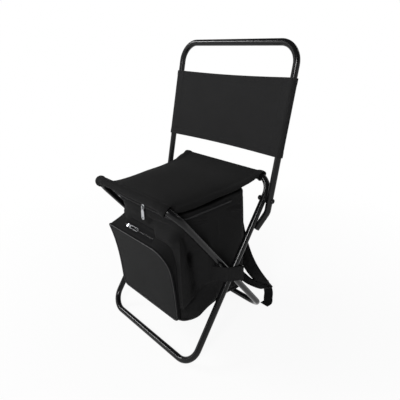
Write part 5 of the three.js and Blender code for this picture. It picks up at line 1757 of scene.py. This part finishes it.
def weave_group():
    """Plain weave: threads are half sines of the flat place; their product's sign says which lies on top."""
    group, given, end = effect_group("weave", "Flat", {"Pitch": 0.0008}, ["Height"])
    parts = add(group, "ShaderNodeSeparateXYZ", {0: given["Flat"]}).outputs
    scale = calc(group, "DIVIDE", math.pi, given["Pitch"])
    warp = calc(group, "SINE", calc(group, "MULTIPLY", parts[0], scale))
    weft = calc(group, "SINE", calc(group, "MULTIPLY", parts[1], scale))
    over = calc(group, "GREATER_THAN", calc(group, "MULTIPLY", warp, weft), 0.0)
    high, low = calc(group, "ABSOLUTE", warp), calc(group, "ABSOLUTE", weft)
    height = calc(group, "MULTIPLY_ADD", over, calc(group, "SUBTRACT", high, low), low)
    feed(group, end, {"Height": height})


def rib_group():
    """Ribbed tape: ribs across the strap are half sines of its length, broken by a chevron of its width."""
    group, given, end = effect_group("rib", "Flat", {"Pitch": 0.0014}, ["Height"])
    parts = add(group, "ShaderNodeSeparateXYZ", {0: given["Flat"]}).outputs
    scale = calc(group, "DIVIDE", math.pi, given["Pitch"])
    slant = calc(group, "ABSOLUTE", calc(group, "SINE", calc(group, "MULTIPLY", parts[1], 500.0)))
    run = calc(group, "MULTIPLY_ADD", parts[0], scale, slant)
    rib = calc(group, "ABSOLUTE", calc(group, "SINE", run))
    feed(group, end, {"Height": rib})


def mottle_group():
    """Uneven colour: a broad and a fine noise added, spread about one half."""
    group, given, end = effect_group("mottle", "Place", {"Scale": 30.0}, ["Value", "Fine"])
    broad = noise(group, given["Place"], {"Scale": given["Scale"], "Detail": 4.0})
    fine_scale = calc(group, "MULTIPLY", given["Scale"], 24.0)
    fine = noise(group, given["Place"], {"Scale": fine_scale, "Detail": 2.0})
    both = calc(group, "MULTIPLY_ADD", calc(group, "SUBTRACT", fine, 0.5), 0.35, broad)
    feed(group, end, {"Value": both, "Fine": fine})


def scuff_group():
    """Scuffs: the peaks of a stretched noise above a threshold."""
    group, given, end = effect_group("scuff", "Place", {"Scale": 40.0, "Threshold": 0.66}, ["Mask"])
    rough = {"Detail": 6.0, "Roughness": 0.7, "Distortion": 0.6}
    peaks = noise(group, given["Place"], {"Scale": given["Scale"], **rough})
    over = calc(group, "SUBTRACT", peaks, given["Threshold"])
    mask = add(group, "ShaderNodeMath", {0: over, 1: 9.0}, operation="MULTIPLY", use_clamp=True).outputs[0]
    feed(group, end, {"Mask": mask})


def bare_tree(holder):
    """Emptied node tree of a new material or world."""
    holder.use_nodes = True
    holder.node_tree.nodes.clear()
    return holder.node_tree


def new_material(name):
    """Node tree of a new material, its Principled shader and the texture places."""
    tree = bare_tree(bpy.data.materials.new(name))
    shader = add(tree, "ShaderNodeBsdfPrincipled")
    add(tree, "ShaderNodeOutputMaterial", {0: shader.outputs[0]})
    return tree, shader, add(tree, "ShaderNodeTexCoord").outputs


def group_node(tree, name, inputs):
    return add(tree, "ShaderNodeGroup", inputs, node_tree=bpy.data.node_groups[name]).outputs


def mottle(tree, place, scale):
    return group_node(tree, "mottle", {"Place": place, "Scale": scale})


def scuffs(tree, place, scale, threshold):
    return group_node(tree, "scuff", {"Place": place, "Scale": scale, "Threshold": threshold})["Mask"]


def between(tree, amount, low, high):
    """Colour between two colours."""
    colours = {0: amount, 6: (*low, 1), 7: (*high, 1)}
    return add(tree, "ShaderNodeMix", colours, data_type="RGBA", clamp_factor=True).outputs[2]


def ranged(tree, value, low, high):
    """Value from 0 to 1 spread from low to high."""
    return add(tree, "ShaderNodeMapRange", {0: value, 3: low, 4: high}).outputs[0]


def bump(tree, height, distance, strength):
    relief = {"Height": height, "Distance": distance, "Strength": strength}
    return add(tree, "ShaderNodeBump", relief).outputs[0]


def toned(tint, factor):
    return tuple(min(channel * factor, 1.0) for channel in tint)


def cloth_material(name, tint, pitch, group, sheen, relief=0.00022):
    """Woven cloth: thread relief and tone from the flat place, dye and worn bloom from the object's place."""
    tree, shader, place = new_material(name)
    thread = group_node(tree, group, {"Flat": place["UV"], "Pitch": pitch})["Height"]
    dye = mottle(tree, place["Object"], 22.0)["Value"]
    scuff = scuffs(tree, place["Object"], 34.0, 0.62)
    tone = calc(tree, "MULTIPLY_ADD", thread, 0.5, calc(tree, "MULTIPLY", dye, 0.5))
    tone = calc(tree, "MULTIPLY_ADD", scuff, 0.25, tone)
    feed(tree, shader, {
        "Base Color": between(tree, tone, toned(tint, 0.72), toned(tint, 1.32)),
        "Roughness": ranged(tree, dye, 0.78, 0.92),
        "Specular IOR Level": 0.06, "Sheen Weight": sheen, "Sheen Roughness": 0.45,
        "Normal": bump(tree, thread, relief, 0.55),
    })


def piping_material(name, tint, low, high):
    """Shiny cord with fine ribs and a painted highlight: its colour lightens from a low to a high place,
    brightest along the pocket's top.
    """
    tree, shader, place = new_material(name)
    rib = group_node(tree, "rib", {"Flat": place["UV"], "Pitch": 0.0009})["Height"]
    # painted highlight: the colour rises with height towards the pocket's top
    height = add(tree, "ShaderNodeSeparateXYZ", {0: place["Object"]}).outputs[2]
    rise = add(tree, "ShaderNodeMapRange", {0: height, 1: low, 2: high, 3: 0.0, 4: 0.85}).outputs[0]
    tone = calc(tree, "MULTIPLY_ADD", rib, 0.15, rise)
    feed(tree, shader, {
        "Base Color": between(tree, tone, toned(tint, 0.35), tint),
        "Roughness": ranged(tree, rib, 0.55, 0.42), "Specular IOR Level": 0.2,
        "Normal": bump(tree, rib, 0.0002, 0.5),
    })


def powder_material(name, tint):
    """Powder coat: fine orange peel, a little uneven gloss and small dull scuffs."""
    tree, shader, place = new_material(name)
    peel = mottle(tree, place["Object"], 55.0)["Value"]
    scuff = scuffs(tree, place["Object"], 60.0, 0.67)
    tone = calc(tree, "MULTIPLY_ADD", scuff, 0.25, calc(tree, "MULTIPLY", peel, 0.5))
    feed(tree, shader, {
        "Base Color": between(tree, tone, toned(tint, 0.8), toned(tint, 2.0)),
        "Roughness": calc(tree, "MULTIPLY_ADD", scuff, 0.03, ranged(tree, peel, 0.17, 0.20)),
        "Specular IOR Level": 0.21, "Normal": bump(tree, peel, 0.00002, 0.05),
    })


def metal_material(name, tint, rough_low, rough_high, scratch):
    """Metal: directional scratches in the gloss and dull spots in the plating."""
    tree, shader, place = new_material(name)
    stretch = add(tree, "ShaderNodeMapping", {"Vector": place["Object"], "Scale": (1.0, 1.0, 9.0)}).outputs[0]
    grain = mottle(tree, stretch, scratch)
    scuff = scuffs(tree, place["Object"], 220.0, 0.63)
    tone = calc(tree, "MULTIPLY_ADD", scuff, -0.5, grain["Value"])
    base = between(tree, tone, toned(tint, 0.6), toned(tint, 1.2))
    rough = ranged(tree, grain["Value"], rough_low, rough_high)
    feed(tree, shader, {
        "Base Color": base, "Roughness": calc(tree, "MULTIPLY_ADD", scuff, 0.2, rough),
        "Metallic": 1.0, "Normal": bump(tree, grain["Fine"], 0.00002, 0.3),
    })


def plain_material(name, tint, rough_low, rough_high, grain_scale, relief, metallic=0.0, spread=1.3):
    """Moulded, foamed or foil surface: a grain in tone, gloss and relief."""
    tree, shader, place = new_material(name)
    grain = mottle(tree, place["Object"], grain_scale)["Value"]
    scuff = scuffs(tree, place["Object"], grain_scale * 1.7, 0.64)
    tone = calc(tree, "MULTIPLY_ADD", scuff, 0.35, grain)
    feed(tree, shader, {
        "Base Color": between(tree, tone, toned(tint, 0.75), toned(tint, spread)),
        "Roughness": ranged(tree, grain, rough_low, rough_high),
        "Metallic": metallic, "Normal": bump(tree, grain, relief, 0.6),
    })


class STOOL_OT_finishes(bpy.types.Operator):
    """Materials of the tubes, cloth, webbing, zips and liner"""

    bl_idname = "stool.finishes"
    bl_label = "Finishes"

    def execute(self, context):
        tint = context.scene.stool_finishes
        for make in (weave_group, rib_group, mottle_group, scuff_group):
            make()
        powder_material("powder coat", tint.powder)
        metal_material("blackened steel", tint.steel, 0.3, 0.5, 300.0)
        metal_material("plated zinc", tint.zinc, 0.22, 0.38, 420.0)
        metal_material("dulled zinc", toned(tint.zinc, 0.16), 0.34, 0.5, 420.0)
        plain_material("moulded plastic", tint.plastic, 0.38, 0.55, 260.0, 0.00004)
        plain_material("zip teeth", toned(tint.thread, 1.3), 0.3, 0.45, 500.0, 0.00003)
        plain_material("closed foam", tint.foam, 0.7, 0.9, 420.0, 0.0003, spread=1.1)
        plain_material("silver foil", tint.foil, 0.18, 0.36, 60.0, 0.0016, metallic=0.9, spread=1.15)
        # the seat, bag and gusset canvases are darkened copies of the backrest's canvas: painted shade
        canvases = {
            "black canvas": tint.canvas, "shaded seat canvas": tint.seat, "shaded bag canvas": tint.bag,
            # the gusset is darker again: painted shadow of the seat above it
            "shaded gusset canvas": toned(tint.bag, 0.8),
        }
        for name, dye in canvases.items():
            cloth_material(name, dye, 0.0008, "weave", 0.02)
        cloth_material("pocket canvas", tint.pocket, 0.0009, "weave", 0.02)
        cloth_material("woven tape", tint.webbing, 0.0006, "weave", 0.01, 0.00015)
        cloth_material("woven web", tint.webbing, 0.0014, "rib", 0.01, 0.0003)
        cloth_material("sewing thread", tint.thread, 0.0004, "rib", 0.02, 0.0001)
        # heights over which the piping's painted highlight rises
        piping_material("piping cord with painted highlight", tint.piping, 0.245, 0.284)
        return {"FINISHED"}


# Stage

# place, goal, size and power of each lamp
LAMPS = {
    "key": ((1.1, -2.2, 1.7), (0, 0, 0.32), (0.5, 0.6), 44),
    "fill": ((-1.5, -2.2, 1.0), (0, 0, 0.3), (0.35, 1.4), 5),
    "rim": ((0.5, 2.2, 1.9), (0, 0, 0.4), (1.8, 0.4), 9),
    "strip": ((-1.9, -1.25, 1.85), (0, 0, 0.45), (1.2, 0.3), 40),
}


def area_light(name, place, goal, size, power):
    """Soft lamp at a place, turned to a goal."""
    lamp = bpy.data.lights.new(name, "AREA")
    lamp.shape = "RECTANGLE"
    lamp.size, lamp.size_y = size
    lamp.energy = power
    made = bpy.data.objects.new(name, lamp)
    made.location = place
    made.rotation_mode = "QUATERNION"
    made.rotation_quaternion = (Vector(goal) - Vector(place)).to_track_quat("-Z", "Y")
    bpy.context.scene.collection.objects.link(made)


def seen_directly(tree):
    """1 for rays from the camera, a mirror or glass, 0 for light that bounces."""
    rays = add(tree, "ShaderNodeLightPath").outputs
    most = calc(tree, "MAXIMUM", rays["Is Camera Ray"], rays["Is Glossy Ray"])
    return calc(tree, "MAXIMUM", most, rays["Is Transmission Ray"])


class STOOL_OT_stage(bpy.types.Operator):
    """White floor, soft light and the camera at the photograph's angle"""

    bl_idname = "stool.stage"
    bl_label = "Stage"

    def execute(self, context):
        scene = context.scene
        scene.view_settings.view_transform = "Standard"
        self.camera(scene)
        self.floor(scene)
        self.world(scene)
        for name, lamp in LAMPS.items():
            area_light(name, *lamp)
        return {"FINISHED"}

    def camera(self, scene):
        """Camera from its place, turn about the object, pitch, roll and focal length in pixels."""
        place = np.array([0.6245, -0.4148, 0.6784]) + FRONT_BAR
        turn, pitch, roll = np.radians([46.134, 22.775, -0.307])
        focal = 369.99
        back = np.array([math.sin(turn), -math.cos(turn), 0]) * math.cos(pitch) + UP * math.sin(pitch)
        right = unit(np.cross(-back, UP))
        up = np.cross(right, -back)
        level = math.cos(roll) * right + math.sin(roll) * up
        upright = -math.sin(roll) * right + math.cos(roll) * up
        data = bpy.data.cameras.new("camera")
        data.sensor_width = SENSOR_WIDTH
        data.lens = focal / IMAGE_SIDE * SENSOR_WIDTH
        made = bpy.data.objects.new("camera", data)
        turned_to = Matrix((level, upright, back)).transposed().to_4x4()
        made.matrix_world = Matrix.Translation(place) @ turned_to
        scene.collection.objects.link(made)
        scene.camera = made

    def floor(self, scene):
        """Round white floor: partly lit near the object, so that the shadow stays, plain white far off."""
        sides = 96
        rings = np.array([0.05, 1.0, 3.0, 12.0])[:, None, None]
        shape = grid(at_height(circle(1.0, sides), 0.0)[None] * rings)
        middle = list(range(sides))[::-1]
        mesh = bpy.data.meshes.new("floor")
        mesh.from_pydata(shape.points.tolist(), [], shape.quads.tolist() + [middle])
        made = bpy.data.objects.new("floor", mesh)
        scene.collection.objects.link(made)
        material = bpy.data.materials.new("floor white")
        tree = bare_tree(material)
        matte = add(tree, "ShaderNodeBsdfDiffuse", {"Color": (0.86, 0.86, 0.86, 1)})
        glow = add(tree, "ShaderNodeEmission", {"Color": (1, 1, 1, 1), "Strength": 1.0})
        mix = add(tree, "ShaderNodeMixShader", {1: matte.outputs[0], 2: glow.outputs[0]})
        place = add(tree, "ShaderNodeTexCoord").outputs["Object"]
        distance = add(tree, "ShaderNodeVectorMath", {0: place}, operation="LENGTH").outputs["Value"]
        near, far, near_white = 0.3, 1.1, 0.92
        spread = {0: distance, 1: near, 2: far, 3: near_white, 4: 1.0}
        fade = add(tree, "ShaderNodeMapRange", spread).outputs[0]
        feed(tree, mix, {0: calc(tree, "MULTIPLY", seen_directly(tree), fade)})
        add(tree, "ShaderNodeOutputMaterial", {0: mix.outputs[0]})
        mesh.materials.append(material)

    def world(self, scene):
        """White to the camera, in mirrors white at the horizon and dim above, elsewhere a dim even light."""
        world = bpy.data.worlds.new("studio")
        scene.world = world
        tree = bare_tree(world)
        rays = add(tree, "ShaderNodeLightPath").outputs
        sky = add(tree, "ShaderNodeTexCoord").outputs["Generated"]
        height = add(tree, "ShaderNodeSeparateXYZ", {0: sky}).outputs[2]
        horizon, overhead, ceiling_light, even_light = 0.08, 0.40, 0.12, 0.10
        spread = {0: height, 1: horizon, 2: overhead, 3: 1.0, 4: ceiling_light}
        ceiling = add(tree, "ShaderNodeMapRange", spread).outputs[0]
        mirrored_level = calc(tree, "MULTIPLY", rays["Is Glossy Ray"], ceiling)
        direct = calc(tree, "MAXIMUM", rays["Is Camera Ray"], rays["Is Transmission Ray"])
        level = calc(tree, "MAXIMUM", calc(tree, "MAXIMUM", direct, mirrored_level), even_light)
        glow = add(tree, "ShaderNodeBackground", {"Color": (1, 1, 1, 1), "Strength": level})
        add(tree, "ShaderNodeOutputWorld", {0: glow.outputs[0]})


class STOOL_PT_panel(bpy.types.Panel):
    """Sizes, colours and pieces of the stool"""

    bl_idname = "STOOL_PT_panel"
    bl_label = "Folding cooler stool"
    bl_space_type = "VIEW_3D"
    bl_region_type = "UI"
    bl_category = "Stool"

    def draw(self, context):
        for operator in OPERATORS:
            self.layout.operator(operator.bl_idname)
        for name, _ in HOLDERS:
            holder = getattr(context.scene, name)
            column = self.layout.column()
            for size in holder.__annotations__:
                column.prop(holder, size)


OPERATORS = (
    STOOL_OT_stage, STOOL_OT_finishes, STOOL_OT_frames, STOOL_OT_fasteners, STOOL_OT_seat, STOOL_OT_backrest,
    STOOL_OT_bag, STOOL_OT_lid, STOOL_OT_zips, STOOL_OT_pocket, STOOL_OT_bands, STOOL_OT_straps,
)
HOLDERS = (
    ("stool_frame", StoolFrameSizes), ("stool_cloth", StoolClothSizes),
    ("stool_bag", StoolBagSizes), ("stool_finishes", StoolFinishes),
)


def register():
    for name, holder in HOLDERS:
        bpy.utils.register_class(holder)
        setattr(bpy.types.Scene, name, PointerProperty(type=holder))
    for each in (*OPERATORS, STOOL_PT_panel):
        bpy.utils.register_class(each)


def unregister():
    for each in (STOOL_PT_panel, *reversed(OPERATORS)):
        bpy.utils.unregister_class(each)
    for name, holder in reversed(HOLDERS):
        delattr(bpy.types.Scene, name)
        bpy.utils.unregister_class(holder)


def main():
    register()
    for operator in OPERATORS:
        group, name = operator.bl_idname.split(".")
        getattr(getattr(bpy.ops, group), name)()


if __name__ == "__main__":
    main()
